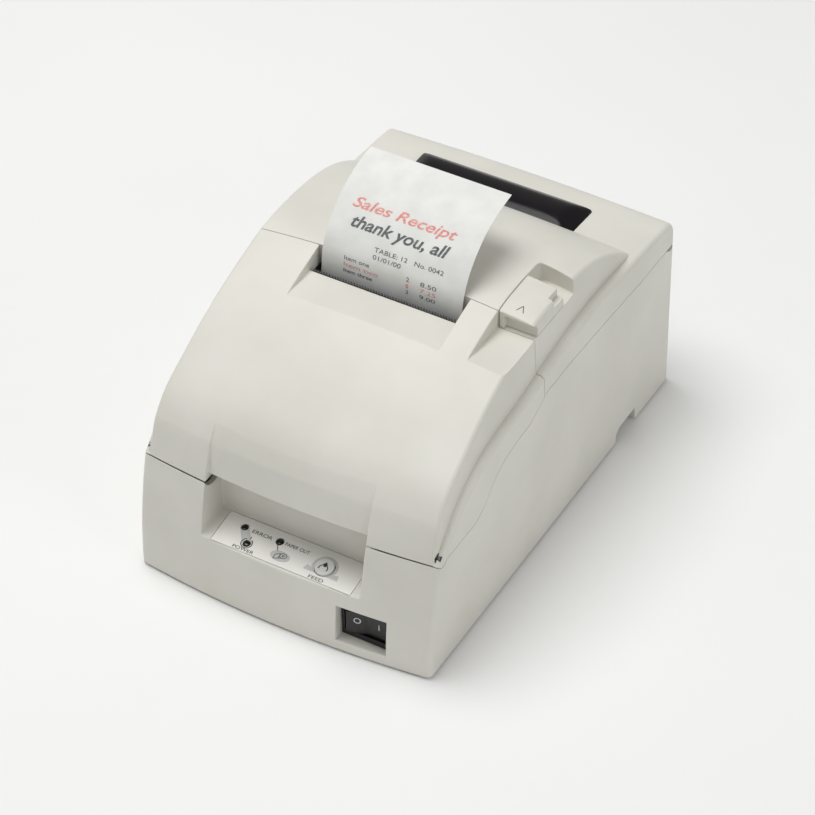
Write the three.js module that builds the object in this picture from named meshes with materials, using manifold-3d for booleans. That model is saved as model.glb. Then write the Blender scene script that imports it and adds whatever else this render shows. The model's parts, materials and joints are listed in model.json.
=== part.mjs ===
// Receipt printer: a moulded case with a front cover, a roll cover, a control panel and a
// dot-impact mechanism. Millimetres, +Z up, the front faces -Y, the origin is bottom centre.
import * as THREE from "three";
import { mergeVertices } from "three/addons/utils/BufferGeometryUtils.js";
import Module from "manifold-3d";

const wasm = await Module();
wasm.setup();

// Driving dimensions: the case
const bodyWidth = 160;
const bodyDepth = 248;
const halfWidth = bodyWidth / 2;
const frontY = -bodyDepth / 2;
const rearY = bodyDepth / 2;
const crestHeight = 138.5; // the highest point of the dome, in the middle
const wall = 2.5;
const seamGap = 0.35; // between two shells that close on each other
const clearance = 0.3; // between pieces that touch or nearly touch
const caseBottom = 1.5; // the case's lower edge above the table
const plateBottomZ = 2.3; // the base plate, inside the case's lower edge
const plateTopZ = 3.8;
const frontBow = 5.3; // how far the middle of the front stands ahead of its corners
const frontLeanRadius = 232; // the front wall leans back on this arc
const rearRound = 9;
const edgeRound = 2.6; // rounding of the case's long side edges
const domeRound = 1.8;
const ledgeWidth = 4.6; // flat ledge beside the dome
const flankDraft = 0.05;
const domeCrown = 4.7;
const bodyCrown = 2;
const rimFall = 29; // from the crest to the side rim at its highest
const coverSeamY = frontY + 113.6; // where the front cover meets the roll cover
const frontSeamZ = 65.1;
const rearSeamZ = 89.5;

// Driving dimensions: the control panel and the power switch
const recessHalfWidth = 43.4;
const recessLipZ = 36.1;
const recessBackRise = 3.4;
const recessDepth = 21.5;
const bandRise = 3.2; // the cover's middle band ends this far above the seam
const bandSetBack = 3.4;
const bandApexZ = 99;
const labelMargin = 5.4;
const labelThickness = 0.6;
const ledRadius = 1.8;
const feedButtonRadius = 4.8;
const feedButtonTravel = 0.8;
const switchWidth = 26;
const switchHeight = 21;
const switchCentreX = 44.3;
const switchCentreZ = plateTopZ + 0.2 + wall + switchHeight / 2;
const switchFaceY = frontY + 9;
const switchPocketDepth = 6.5;

// Driving dimensions: paper, mouth and lever
const paperWidth = 76;
const paperThickness = 0.4;
const rollRadius = 40.5;
const rollCoreRadius = 9;
const rollCentreX = -3.75;
const rollCentreY = frontY + 176;
const rollCentreZ = 60;
const mouthHalfWidth = paperWidth / 2 + 2.7;
const mouthFrontY = coverSeamY - 10.3;
const rampLength = 20;
const rampBackZ = crestHeight - 11.1;
const rampFrontDrop = 1.4;
const leverInnerX = halfWidth - 24.8;
const leverLength = 28;
const leverHeight = 11;
const leverTravel = 6; // how far it slides into its pocket
const pocketLength = 40;
const leverRampLength = 29;
const windowLeftX = -51;
const windowRightX = 43.5;
const windowFrontY = frontY + 207;
const windowRearY = windowFrontY + 22.5;
const windowHump = 2.6;
const windowEndSlope = 1.6;

// Driving dimensions: hinges, mechanism and connectors
const frontHingeY = frontY + 18;
const frontHingeZ = frontSeamZ + 2.4;
const frontPinRadius = 1;
const rollHingeY = rearY - wall - 1.5;
const rollHingeZ = rearSeamZ + 2.5;
const rollPinRadius = 1.2;
const rollEarRadius = 2.6;
const plateHalfWidth = halfWidth - 12; // inside faces of the mechanism's side plates
const plateThickness = 1.5;
const feedAxisY = frontY + 103;
const feedAxisZ = 70;
const feedRollerRadius = 6;
const feedShaftRadius = 2.5;
const gearModule = 1;
const pinionTeeth = 12;
const feedTeeth = 36;
const carriageShaftY = frontY + 84;
const carriageShaftZ = 66;
const carriageShaftRadius = 4;
const headHalfWidth = 13;
const pulleyRadius = 6;
const pulleyX = plateHalfWidth - 18;
const pulleyY = frontY + 64;
const beltZ = 50;
const beltHeight = 6;
const paperY = coverSeamY - 4.1; // the paper's plane at the print line
const printLineZ = 88;
const bayDepth = 26;
const bayHeight = 33;
const bayHalfWidth = halfWidth - 8;
const channelFrontY = rearY - 57;
const channelRearY = channelFrontY + 20.5;
const channelHeight = 8.6;
const footRadius = 7;
const footHeight = 2;

const cornerFrontY = frontY + frontBow;
const domeHalfWidth = halfWidth - ledgeWidth - 1.4;
const domeEdgeTopZ = crestHeight - domeCrown;
const rimTopZ = crestHeight - rimFall;

// Solids
function solidOf(geometry) {
  geometry.deleteAttribute("normal");
  geometry.deleteAttribute("uv");
  const merged = mergeVertices(geometry, 1e-4);
  return new wasm.Manifold(
    new wasm.Mesh({
      numProp: 3,
      vertProperties: merged.getAttribute("position").array,
      triVerts: new Uint32Array(merged.index.array),
    }),
  );
}

function boxGeometry(low, high) {
  const geometry = new THREE.BoxGeometry(high[0] - low[0], high[1] - low[1], high[2] - low[2]);
  return geometry.translate((low[0] + high[0]) / 2, (low[1] + high[1]) / 2, (low[2] + high[2]) / 2);
}

function box(low, high) {
  return solidOf(boxGeometry(low, high));
}

// A cylinder from start to end, two corners that differ along one axis only.
function rodGeometry(start, end, radius, sides = 20) {
  const from = new THREE.Vector3(...start);
  const along = new THREE.Vector3(...end).sub(from);
  const geometry = new THREE.CylinderGeometry(radius, radius, along.length(), sides);
  const turn = new THREE.Quaternion().setFromUnitVectors(
    new THREE.Vector3(0, 1, 0),
    along.clone().normalize(),
  );
  geometry.applyQuaternion(turn);
  const middle = from.addScaledVector(along, 0.5);
  return geometry.translate(middle.x, middle.y, middle.z);
}

function rod(start, end, radius, sides) {
  return solidOf(rodGeometry(start, end, radius, sides));
}

// A Y-Z outline carried along X from x0 to x1.
function prismXGeometry(outline, x0, x1, steps = 1) {
  const shape = new THREE.Shape(outline.map(([y, z]) => new THREE.Vector2(y, z)));
  const geometry = new THREE.ExtrudeGeometry(shape, { depth: x1 - x0, steps, bevelEnabled: false });
  const turn = new THREE.Matrix4().set(0, 0, 1, x0, 1, 0, 0, 0, 0, 1, 0, 0, 0, 0, 0, 1);
  return geometry.applyMatrix4(turn);
}

function prismX(outline, x0, x1) {
  return solidOf(prismXGeometry(outline, x0, x1));
}

// An X-Y outline carried along Z from z0 to z1.
function prismZ(outline, z0, z1) {
  const shape = new THREE.Shape(outline.map(([x, y]) => new THREE.Vector2(x, y)));
  const geometry = new THREE.ExtrudeGeometry(shape, { depth: z1 - z0, bevelEnabled: false });
  return solidOf(geometry.translate(0, 0, z0));
}

function union(...solids) {
  return solids.reduce((all, next) => all.add(next));
}

function cutAll(solid, ...tools) {
  return tools.reduce((left, tool) => left.subtract(tool), solid);
}

function circleOutline(y, z, radius, count = 18) {
  return Array.from({ length: count }, (_, i) => {
    const angle = (2 * Math.PI * i) / count;
    return [y + radius * Math.cos(angle), z + radius * Math.sin(angle)];
  });
}

const smooth = (t) => {
  const s = Math.min(1, Math.max(0, t));
  return s * s * (3 - 2 * s);
};

// The case's outer form
const frontEdgeY = (z) => cornerFrontY + (z * z) / (2 * frontLeanRadius);

function splinePoints(points, count) {
  const curve = new THREE.SplineCurve(points.map(([y, z]) => new THREE.Vector2(y, z)));
  return curve.getSpacedPoints(count).map((p) => [p.x, p.y]);
}

const frontWallPoints = (zs) => zs.map((z) => [frontEdgeY(z), z]);

// Side outline of the full-width body: front wall, rim that rises to the rear, rounded back.
function bodyOutline() {
  const rim = splinePoints(
    [
      [frontEdgeY(frontSeamZ), frontSeamZ],
      [frontY + 24.2, rimTopZ - 35.2],
      [frontY + 39.2, rimTopZ - 22.5],
      [frontY + 64, rimTopZ - 12.5],
      [frontY + 98, rimTopZ - 8.2],
      [frontY + 134, rimTopZ - 2.3],
      [frontY + 174, rimTopZ],
      [rearY - rearRound - 3, rimTopZ - 4.2],
    ],
    14,
  );
  const backTop = rimTopZ - 4.6;
  const back = [0, 0.25, 0.5, 0.75, 1].map((t) => {
    const angle = (Math.PI / 2) * (1 - t);
    return [
      rearY - rearRound + rearRound * Math.cos(angle),
      backTop - rearRound + rearRound * Math.sin(angle),
    ];
  });
  return [
    ...frontWallPoints([caseBottom, 22, 42, 56]),
    ...rim,
    ...back,
    [rearY, caseBottom],
  ];
}

// Side outline of the dome: it continues the front wall, rises to the crest and falls to the hood.
function domeOutline() {
  const top = splinePoints(
    [
      [frontEdgeY(84), 84],
      [frontY + 29, domeEdgeTopZ - 38.6],
      [frontY + 46, domeEdgeTopZ - 28.3],
      [frontY + 64.5, domeEdgeTopZ - 18.3],
      [frontY + 84.4, domeEdgeTopZ - 10],
      [frontY + 115.1, domeEdgeTopZ - 1.1],
      [frontY + 130, domeEdgeTopZ],
      [frontY + 144, domeEdgeTopZ - 0.2],
      [frontY + 162.8, domeEdgeTopZ - 2.4],
      [frontY + 178.7, domeEdgeTopZ - 7.1],
      [frontY + 190.6, domeEdgeTopZ - 13],
      [frontY + 200.5, domeEdgeTopZ - 19.4],
      [frontY + 209, rimTopZ - 2],
    ],
    22,
  );
  return [
    [frontEdgeY(frontSeamZ) + 8, 58],
    ...frontWallPoints([frontSeamZ + 0.6, 74]),
    ...top,
    [frontY + 209, 58],
  ];
}

// Moves an outline inwards by a distance, along the mean normal at each point.
function inset(outline, distance) {
  const count = outline.length;
  return outline.map(([y, z], i) => {
    const [py, pz] = outline[(i + count - 1) % count];
    const [ny, nz] = outline[(i + 1) % count];
    const before = new THREE.Vector2(y - py, z - pz).normalize();
    const after = new THREE.Vector2(ny - y, nz - z).normalize();
    const tangent = before.clone().add(after).normalize();
    const stretch = 1 / Math.max(0.5, tangent.dot(after));
    return [y + tangent.y * distance * stretch, z - tangent.x * distance * stretch];
  });
}

// The front stands forward in the middle; the effect fades towards the back.
function bowOf(x, y) {
  const fade = 1 - smooth((y - (frontY + 24)) / 80);
  return frontBow * (1 - (x / halfWidth) ** 2) * fade;
}

function crownOf(x, z, height, span, low, high) {
  return height * Math.max(0, 1 - (x / span) ** 2) * smooth((z - low) / (high - low));
}

const xStations = [0, 0.22, 0.44, 0.64, 0.82];
const roundSteps = [0, 0.55, 1];

// A side outline carried across the case, its long edges rounded, then shaped by form.
function crossBody(outline, half, round, form) {
  const edges = roundSteps.map((t) => half - round + round * Math.sin((t * Math.PI) / 2));
  const stations = [...xStations.map((share) => share * (half - round)), ...edges];
  const insetPoints = inset(outline, 1);
  const inward = outline.map(([y, z], i) => {
    const [iy, iz] = insetPoints[i];
    return z < caseBottom + 1 ? [Math.sign(iy - y), 0] : [iy - y, iz - z];
  });
  const nearest = (y, z) => {
    const distances = outline.map(([oy, oz]) => Math.hypot(oy - y, oz - z));
    return distances.indexOf(Math.min(...distances));
  };
  const count = 2 * (stations.length - 1);
  const geometry = prismXGeometry(outline, 0, count, count);
  const position = geometry.getAttribute("position");
  for (let i = 0; i < position.count; i += 1) {
    const index = Math.round(position.getX(i)) - count / 2;
    const x = Math.sign(index) * stations[Math.abs(index)];
    const past = Math.max(0, Math.abs(x) - (half - round));
    const sink = round - Math.sqrt(Math.max(0, round * round - past * past));
    const y = position.getY(i);
    const z = position.getZ(i);
    const [inY, inZ] = inward[nearest(y, z)];
    position.setXYZ(i, ...form(x, y + inY * sink, z + inZ * sink));
  }
  return solidOf(geometry);
}

function bodyForm(x, y, z) {
  const top = crownOf(x, z, bodyCrown, halfWidth, frontSeamZ, rimTopZ);
  return [x, y - bowOf(x, y), z + top];
}

function domeForm(x, y, z) {
  const top = crownOf(x, z, domeCrown, domeHalfWidth, frontSeamZ + 6, domeEdgeTopZ);
  const spread = 1 + (flankDraft * (domeEdgeTopZ - z)) / domeHalfWidth;
  return [x * spread, y - bowOf(x * spread, y), z + top];
}

const bodyBlock = crossBody(bodyOutline(), halfWidth, edgeRound, bodyForm);
const domeBlock = crossBody(domeOutline(), domeHalfWidth, domeRound, domeForm);

const openBelow = ([y, z]) => [y, z < caseBottom + wall + 1 ? caseBottom - 5 : z];
const hollowOutline = inset(bodyOutline(), wall).map(openBelow);
const innerForm = crossBody(hollowOutline, halfWidth - wall, edgeRound, bodyForm).add(
  crossBody(inset(domeOutline(), wall), domeHalfWidth - wall, domeRound, domeForm),
);

// The smoked window stands proud of the hood as a low hump.
const windowMiddleX = (windowLeftX + windowRightX) / 2;
const windowHalf = (windowRightX - windowLeftX) / 2;
const hoodZ = rimTopZ - 1.5;
function windowSolid(grow) {
  const half = windowHalf + grow;
  const outline = [
    [windowFrontY - grow, hoodZ - 8],
    [windowFrontY - grow, hoodZ + 3.2],
    [windowFrontY + 5, hoodZ + 3 + windowHump * 0.75],
    [windowFrontY + 11, hoodZ + 2.4 + windowHump],
    [windowRearY - 5, hoodZ + 1.6 + windowHump * 0.8],
    [windowRearY + grow, hoodZ + 0.4],
    [windowRearY + grow, hoodZ - 8],
  ];
  const geometry = prismXGeometry(outline, -half, half, 2);
  const position = geometry.getAttribute("position");
  for (let i = 0; i < position.count; i += 1) {
    const side = Math.sign(position.getX(i));
    const rise = Math.max(0, position.getZ(i) - hoodZ);
    position.setX(i, windowMiddleX + position.getX(i) - side * rise * windowEndSlope);
  }
  return solidOf(geometry);
}

// Cuts in the outer form, each with a grown twin that keeps the wall behind it
const slopeAngle = Math.atan2(recessBackRise, recessDepth);
const recessFrontY = frontEdgeY(recessLipZ) - frontBow;
const recessBackY = recessFrontY + recessDepth;
const recessFloorZ = (y) => recessLipZ + (y - recessFrontY) * Math.tan(slopeAngle);

function recessTool(grow) {
  const backY = recessBackY + grow;
  const frontOutside = recessFrontY - 12;
  const outline = [
    [frontOutside, recessFloorZ(frontOutside) - grow],
    [backY, recessFloorZ(backY) - grow],
    [backY, frontSeamZ + bandRise],
    [frontOutside, frontSeamZ + bandRise],
  ];
  return prismX(outline, -recessHalfWidth - grow, recessHalfWidth + grow);
}

// The cover's middle band is set back at its lower end and runs out at its apex.
function bandTool(grow) {
  const low = frontSeamZ - 3;
  const setBack = (z) => Math.max(0, (bandSetBack * (bandApexZ - z)) / (bandApexZ - frontSeamZ));
  const line = domeOutline().filter(([y, z]) => y < frontY + 60 && z > low && z < bandApexZ);
  const surface = line.map(([y, z]) => [y + setBack(z) + grow, z]);
  const outline = [
    [frontY - 30, low],
    [surface[0][0] - 0.5, low],
    ...surface,
    [frontY + 32, bandApexZ + 1],
    [frontY - 30, bandApexZ + 1],
  ];
  const bowed = (x, y, z) => [x, y - bowOf(x, y), z];
  return crossBody(outline, recessHalfWidth + grow, 0.01, bowed);
}

const mouthRampStart = mouthFrontY - rampLength;
function mouthTool(grow) {
  const outline = [
    [mouthRampStart - grow, rampBackZ - rampFrontDrop - grow],
    [coverSeamY + grow, rampBackZ - grow],
    [coverSeamY + grow, crestHeight + 10],
    [mouthRampStart - grow - 6, crestHeight + 10],
  ];
  return prismX(outline, -mouthHalfWidth - grow, mouthHalfWidth + grow);
}

const leverFloorZ = domeEdgeTopZ - leverHeight + 1.6;
const leverRearY = coverSeamY + leverLength;
const pocketRearY = coverSeamY + pocketLength;
function leverTool(grow) {
  const outline = [
    [coverSeamY - leverRampLength - grow, leverFloorZ + 4.6 - grow],
    [coverSeamY, leverFloorZ - grow],
    [pocketRearY + grow, leverFloorZ - grow],
    [pocketRearY + grow, crestHeight + 10],
    [coverSeamY - leverRampLength - grow - 8, crestHeight + 10],
  ];
  return prismX(outline, leverInnerX - grow, halfWidth + 5);
}

const bayFrontY = rearY - bayDepth;
function bayTool(grow) {
  return box(
    [-bayHalfWidth - grow, bayFrontY - grow, caseBottom - 6],
    [bayHalfWidth + grow, rearY + 5, bayHeight + grow],
  );
}
function channelTool(grow) {
  const low = [-halfWidth - 5, channelFrontY - grow, caseBottom - 6];
  const sideways = box(low, [halfWidth + 5, channelRearY + grow, channelHeight + grow]);
  const back = box(
    [-bayHalfWidth - grow, channelRearY - 5, caseBottom - 6],
    [bayHalfWidth + grow, bayFrontY + 1, channelHeight + grow],
  );
  return sideways.add(back);
}

function switchPocketTool(grow) {
  return box(
    [switchCentreX - switchWidth / 2 - grow, frontY - 5, switchCentreZ - switchHeight / 2 - grow],
    [switchCentreX + switchWidth / 2 + grow, switchFaceY + grow, switchCentreZ + switchHeight / 2 + grow],
  );
}

const toolPairs = [recessTool, bandTool, mouthTool, leverTool, bayTool, channelTool, switchPocketTool];
const outerForm = cutAll(bodyBlock.add(domeBlock), ...toolPairs.map((tool) => tool(0)));
const roomForm = cutAll(innerForm, ...toolPairs.map((tool) => tool(wall)));
const shell = outerForm.subtract(roomForm);

// Parting surfaces
function seamLine(shift) {
  const front = frontSeamZ + shift;
  const rise = splinePoints(
    [
      [frontY + 48, front],
      [frontY + 57, front + 4.5],
      [frontY + 66, front + 12.6],
      [frontY + 76, front + 17.4],
      [frontY + 87, front + 19.4],
      [frontY + 100, front + 20.4],
    ],
    10,
  );
  return [
    [frontY - 20, front],
    ...rise,
    [coverSeamY - 0.5, rearSeamZ + 1.5 + shift],
    [coverSeamY + 3, rearSeamZ + 3.4 + shift],
    [coverSeamY + 26, rearSeamZ + 3.8 + shift],
    [coverSeamY + 60, rearSeamZ + 2.4 + shift],
    [coverSeamY + 98, rearSeamZ + 0.2 + shift],
    [rearY + 20, rearSeamZ + shift],
  ];
}
const slabBelow = prismX(
  [...seamLine(-seamGap / 2), [rearY + 20, -20], [frontY - 20, -20]],
  -halfWidth - 10,
  halfWidth + 10,
);
const slabAbove = prismX(
  [...seamLine(seamGap / 2), [rearY + 20, crestHeight + 40], [frontY - 20, crestHeight + 40]],
  -halfWidth - 10,
  halfWidth + 10,
);
const far = 200;
const aheadOfSeam = box([-far, -far, -far], [far, coverSeamY - seamGap / 2, far]);
const behindSeam = box([-far, coverSeamY + seamGap / 2, -far], [far, far, far]);

// The finished group: every piece is one named mesh
const printer = new THREE.Group();
const finishes = {
  shell: { color: 0xe2e0d8, roughness: 0.55, metalness: 0 },
  panel: { color: 0xd9d9d4, roughness: 0.45, metalness: 0 },
  darkPlastic: { color: 0x26262a, roughness: 0.4, metalness: 0 },
  smoked: { color: 0x16141a, roughness: 0.12, metalness: 0 },
  steel: { color: 0x9a9ca0, roughness: 0.35, metalness: 0.9 },
  zinc: { color: 0xb4b6b8, roughness: 0.45, metalness: 0.8 },
  rubber: { color: 0x2b2b2c, roughness: 0.85, metalness: 0 },
  paper: { color: 0xf2f2ee, roughness: 0.8, metalness: 0 },
  board: { color: 0x2c6a44, roughness: 0.5, metalness: 0 },
  greyPlastic: { color: 0x8d9094, roughness: 0.5, metalness: 0 },
  nylon: { color: 0xe8e4d6, roughness: 0.5, metalness: 0 },
  ink: { color: 0x5a2430, roughness: 0.8, metalness: 0 },
};

function piece(name, solid, finish) {
  const made = solid.getMesh();
  const geometry = new THREE.BufferGeometry();
  geometry.setAttribute("position", new THREE.BufferAttribute(made.vertProperties, 3));
  geometry.setIndex(new THREE.BufferAttribute(made.triVerts, 1));
  geometry.computeVertexNormals();
  const mesh = new THREE.Mesh(geometry, new THREE.MeshStandardMaterial(finishes[finish]));
  mesh.name = name;
  printer.add(mesh);
}

const sides = [
  ["left", -1],
  ["right", 1],
];
const spanX = (side, near, far) => (side > 0 ? [near, far] : [-far, -near]);
function sideBox(side, near, far, lowYZ, highYZ) {
  const [x0, x1] = spanX(side, near, far);
  return box([x0, ...lowYZ], [x1, ...highYZ]);
}

// Front cover: hinged at its lower front edge
const coverLowZ = frontSeamZ + seamGap / 2;
const coverReach = (x) =>
  Math.hypot(frontEdgeY(coverLowZ) - bowOf(x, frontY) - frontHingeY, coverLowZ - frontHingeZ);

// A barrel about the hinge line that the cover's lower edge sweeps as it opens.
function hingeBarrel(x0, x1, extra) {
  const steps = 8;
  const profile = Array.from({ length: steps + 1 }, (_, i) => {
    const x = x0 + ((x1 - x0) * i) / steps;
    return new THREE.Vector2(coverReach(x) + extra, x);
  });
  const closed = [new THREE.Vector2(0, x0), ...profile, new THREE.Vector2(0, x1)];
  const lathe = new THREE.LatheGeometry(closed, 28);
  lathe.rotateZ(-Math.PI / 2);
  return solidOf(lathe.translate(0, frontHingeY, frontHingeZ));
}

const innerSkinX = halfWidth - wall;
const earInnerX = innerSkinX - clearance - wall;
const earOuterX = innerSkinX - clearance;
const earRadius = 2.1;
const earReach = 12; // each ear's arm runs this far from its pin to its post
const earArmHalf = 1.5;
const frontEarInset = 2 * wall - 4.2; // keeps the front ear clear of the cover's rounded rim
// The front ear's arm, from its pin: it drops behind the sweep of the cover's lower edge.
const frontArm = [
  [0, -1.2],
  [1.6, -1.7],
  [3.7, -3.1],
  [6, -5],
  [earReach, -5],
  [earReach, 0],
  [4.8, 0],
  [2.4, -0.8],
  [0, 0],
];
const frontPinHole = frontPinRadius + clearance;

function frontCoverSolid() {
  let cover = shell.intersect(slabAbove).intersect(aheadOfSeam);
  const bandLow = frontSeamZ + bandRise;
  const band = prismX(
    [
      [frontY - 10, frontSeamZ - 10],
      [frontY + 40, frontSeamZ - 10],
      [frontY + 40, bandLow],
      [frontY - 10, bandLow],
    ],
    -recessHalfWidth,
    recessHalfWidth,
  );
  const slotLow = [-mouthHalfWidth, mouthFrontY, rampBackZ - 20];
  cover = cutAll(cover, band, box(slotLow, [mouthHalfWidth, coverSeamY, crestHeight + 9]));
  for (const [, side] of sides) {
    const [x0, x1] = spanX(side, innerSkinX + 0.05, halfWidth - 0.05);
    const disc = hingeBarrel(x0, x1, -0.02);
    cover = cover.add(disc.intersect(outerForm));
    const [e0, e1] = spanX(side, earInnerX - clearance, innerSkinX);
    const room = earRadius + 0.4;
    cover = cover.subtract(prismX(circleOutline(frontHingeY, frontHingeZ, room), e0, e1));
    const gap = box([e0, frontHingeY - room, frontSeamZ - 4], [e1, frontHingeY + room, frontHingeZ]);
    cover = cover.subtract(gap);
    const [p0, p1] = spanX(side, earInnerX - clearance, halfWidth - 0.8);
    const hole = rod([p0, frontHingeY, frontHingeZ], [p1, frontHingeY, frontHingeZ], frontPinHole, 16);
    cover = cover.subtract(hole);
  }
  return cover;
}

// Lower case
const screwX = halfWidth - 6;
const screwYs = [frontY + 64, frontY + 164];
const screwPlaces = screwYs.flatMap((y) => sides.map(([name, side]) => [name, side * screwX, y]));
const screwRadius = 1.5;
const bossTopZ = 16;

function lowerCaseSolid() {
  let lower = shell.intersect(slabBelow);
  lower = lower.subtract(hingeBarrel(-halfWidth - 1, halfWidth + 1, clearance));
  const rearReach = Math.hypot(rearY - rollHingeY, rollHingeZ - rearSeamZ - seamGap / 2);
  const scoop = circleOutline(rollHingeY, rollHingeZ, rearReach + clearance, 32);
  lower = lower.subtract(prismX(scoop, -halfWidth - 1, halfWidth + 1));
  for (const [, side] of sides) {
    const [e0, e1] = spanX(side, earInnerX, earOuterX);
    const reach = innerSkinX + 1;
    const [b0, b1] = spanX(side, earInnerX, reach);
    const rearPost = [rollHingeY - earReach, rollHingeY - earReach / 2];
    const rearEar = union(
      prismX(circleOutline(rollHingeY, rollHingeZ, rollEarRadius), e0, e1),
      box([e0, rearPost[0], rollHingeZ - earArmHalf], [e1, rollHingeY, rollHingeZ + earArmHalf]),
      box([e0, rearPost[0], rearSeamZ - 16], [e1, rearPost[1], rollHingeZ]),
      box([b0, rearPost[0], rearSeamZ - 16], [b1, rearPost[1], rearSeamZ - 8]),
    );
    const frontPost = [frontHingeY + earReach / 2, frontHingeY + earReach];
    const [f0, f1] = spanX(side, earInnerX, earOuterX - frontEarInset);
    const frontEar = union(
      prismX(circleOutline(frontHingeY, frontHingeZ, earRadius), f0, f1),
      prismX(frontArm.map(([y, z]) => [frontHingeY + y, frontHingeZ + z]), f0, f1),
      box([f0, frontPost[0], frontSeamZ - 16], [f1, frontPost[1], frontHingeZ - 4]),
      box([b0, frontPost[0], frontSeamZ - 16], [b1, frontPost[1], frontSeamZ - 8]),
    );
    lower = union(lower, rearEar, frontEar);
    const through = (y, z, radius) => rod([e0 - 1, y, z], [e1 + 1, y, z], radius, 16);
    lower = lower.subtract(through(frontHingeY, frontHingeZ, frontPinHole));
    lower = lower.subtract(through(rollHingeY, rollHingeZ, rollPinRadius + clearance));
  }
  for (const [, x, y] of screwPlaces) {
    const sideX = Math.sign(x) * (halfWidth - wall / 2);
    const low = Math.min(x, sideX);
    const high = Math.max(x, sideX);
    lower = lower.add(rod([x, y, plateTopZ + clearance], [x, y, bossTopZ], 3.6, 16));
    lower = lower.add(box([low, y - 1.2, plateTopZ + clearance], [high, y + 1.2, bossTopZ]));
    lower = lower.subtract(rod([x, y, 0], [x, y, bossTopZ - 2], screwRadius + clearance, 16));
  }
  lower = lower.subtract(labelPocket());
  for (const [, x, y] of ledPlaces) lower = lower.subtract(panelRod(x, y, -8, 8, ledRadius + 0.35));
  lower = lower.subtract(panelRod(feedX, feedY, -8, 8, feedButtonRadius + 0.4));
  const switchHole = box(
    [switchCentreX - switchWidth / 2 + 1, switchFaceY - 2, switchCentreZ - switchHeight / 2 + 1],
    [switchCentreX + switchWidth / 2 - 1, switchFaceY + 6, switchCentreZ + switchHeight / 2 - 1],
  );
  lower = lower.subtract(switchHole);
  const bayHole = box([-52, bayFrontY - 6, channelHeight + 5], [52, bayFrontY + 2, bayHeight - 4]);
  return lower.subtract(bayHole);
}

// Control panel: pieces lie on the sloping floor, measured along it from its front edge
const panelTurn = new THREE.Matrix4()
  .makeTranslation(0, recessFrontY, recessLipZ)
  .multiply(new THREE.Matrix4().makeRotationX(slopeAngle));
const onPanel = (geometry) => solidOf(geometry.applyMatrix4(panelTurn));
const panelBox = (low, high) => onPanel(boxGeometry(low, high));
function panelRod(x, y, z0, z1, radius, count = 16) {
  return onPanel(rodGeometry([x, y, z0], [x, y, z1], radius, count));
}
const ledPlaces = [
  ["led_error", -26.8, 14.5],
  ["led_power", -21.2, 6.8],
  ["led_paper_out", -7.4, 14.4],
];
const feedX = 19.5;
const feedY = 10.2;
const labelHalf = recessHalfWidth - labelMargin;
const labelFront = 1.6;
const labelBack = recessDepth - 1.2;
const labelSink = labelThickness + clearance;
function labelPocket() {
  const grow = clearance;
  return panelBox(
    [-labelHalf - grow, labelFront - grow, -labelSink],
    [labelHalf + grow, labelBack + grow, 6],
  );
}
function controlPanelSolid() {
  let label = panelBox([-labelHalf, labelFront, -labelThickness], [labelHalf, labelBack, 0]);
  for (const [, x, y] of ledPlaces) label = label.subtract(panelRod(x, y, -2, 2, ledRadius + 0.35));
  return label.subtract(panelRod(feedX, feedY, -2, 2, feedButtonRadius + 0.4));
}
const boardTop = -6.2;
piece("control_panel", controlPanelSolid(), "panel");
for (const [name, x, y] of ledPlaces) {
  piece(name, panelRod(x, y, boardTop + clearance, 0.5, ledRadius), "darkPlastic");
}
const buttonTop = 1.3;
const switchTop = boardTop + 2.4;
piece(
  "feed_button",
  union(
    panelRod(feedX, feedY, -2.6, buttonTop, feedButtonRadius, 32),
    panelRod(feedX, feedY, switchTop + feedButtonTravel + clearance, -2, 1.6, 16),
  ),
  "greyPlastic",
);
const boardFront = 6;
piece(
  "panel_board",
  panelBox([-36, boardFront - 2, boardTop - 1.6], [28, recessDepth - 3, boardTop]),
  "board",
);
piece(
  "feed_switch",
  panelBox([feedX - 3, feedY - 3, boardTop + clearance], [feedX + 3, feedY + 3, switchTop]),
  "darkPlastic",
);

piece("lower_case", lowerCaseSolid(), "shell");
piece("front_cover", frontCoverSolid(), "shell");

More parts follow.
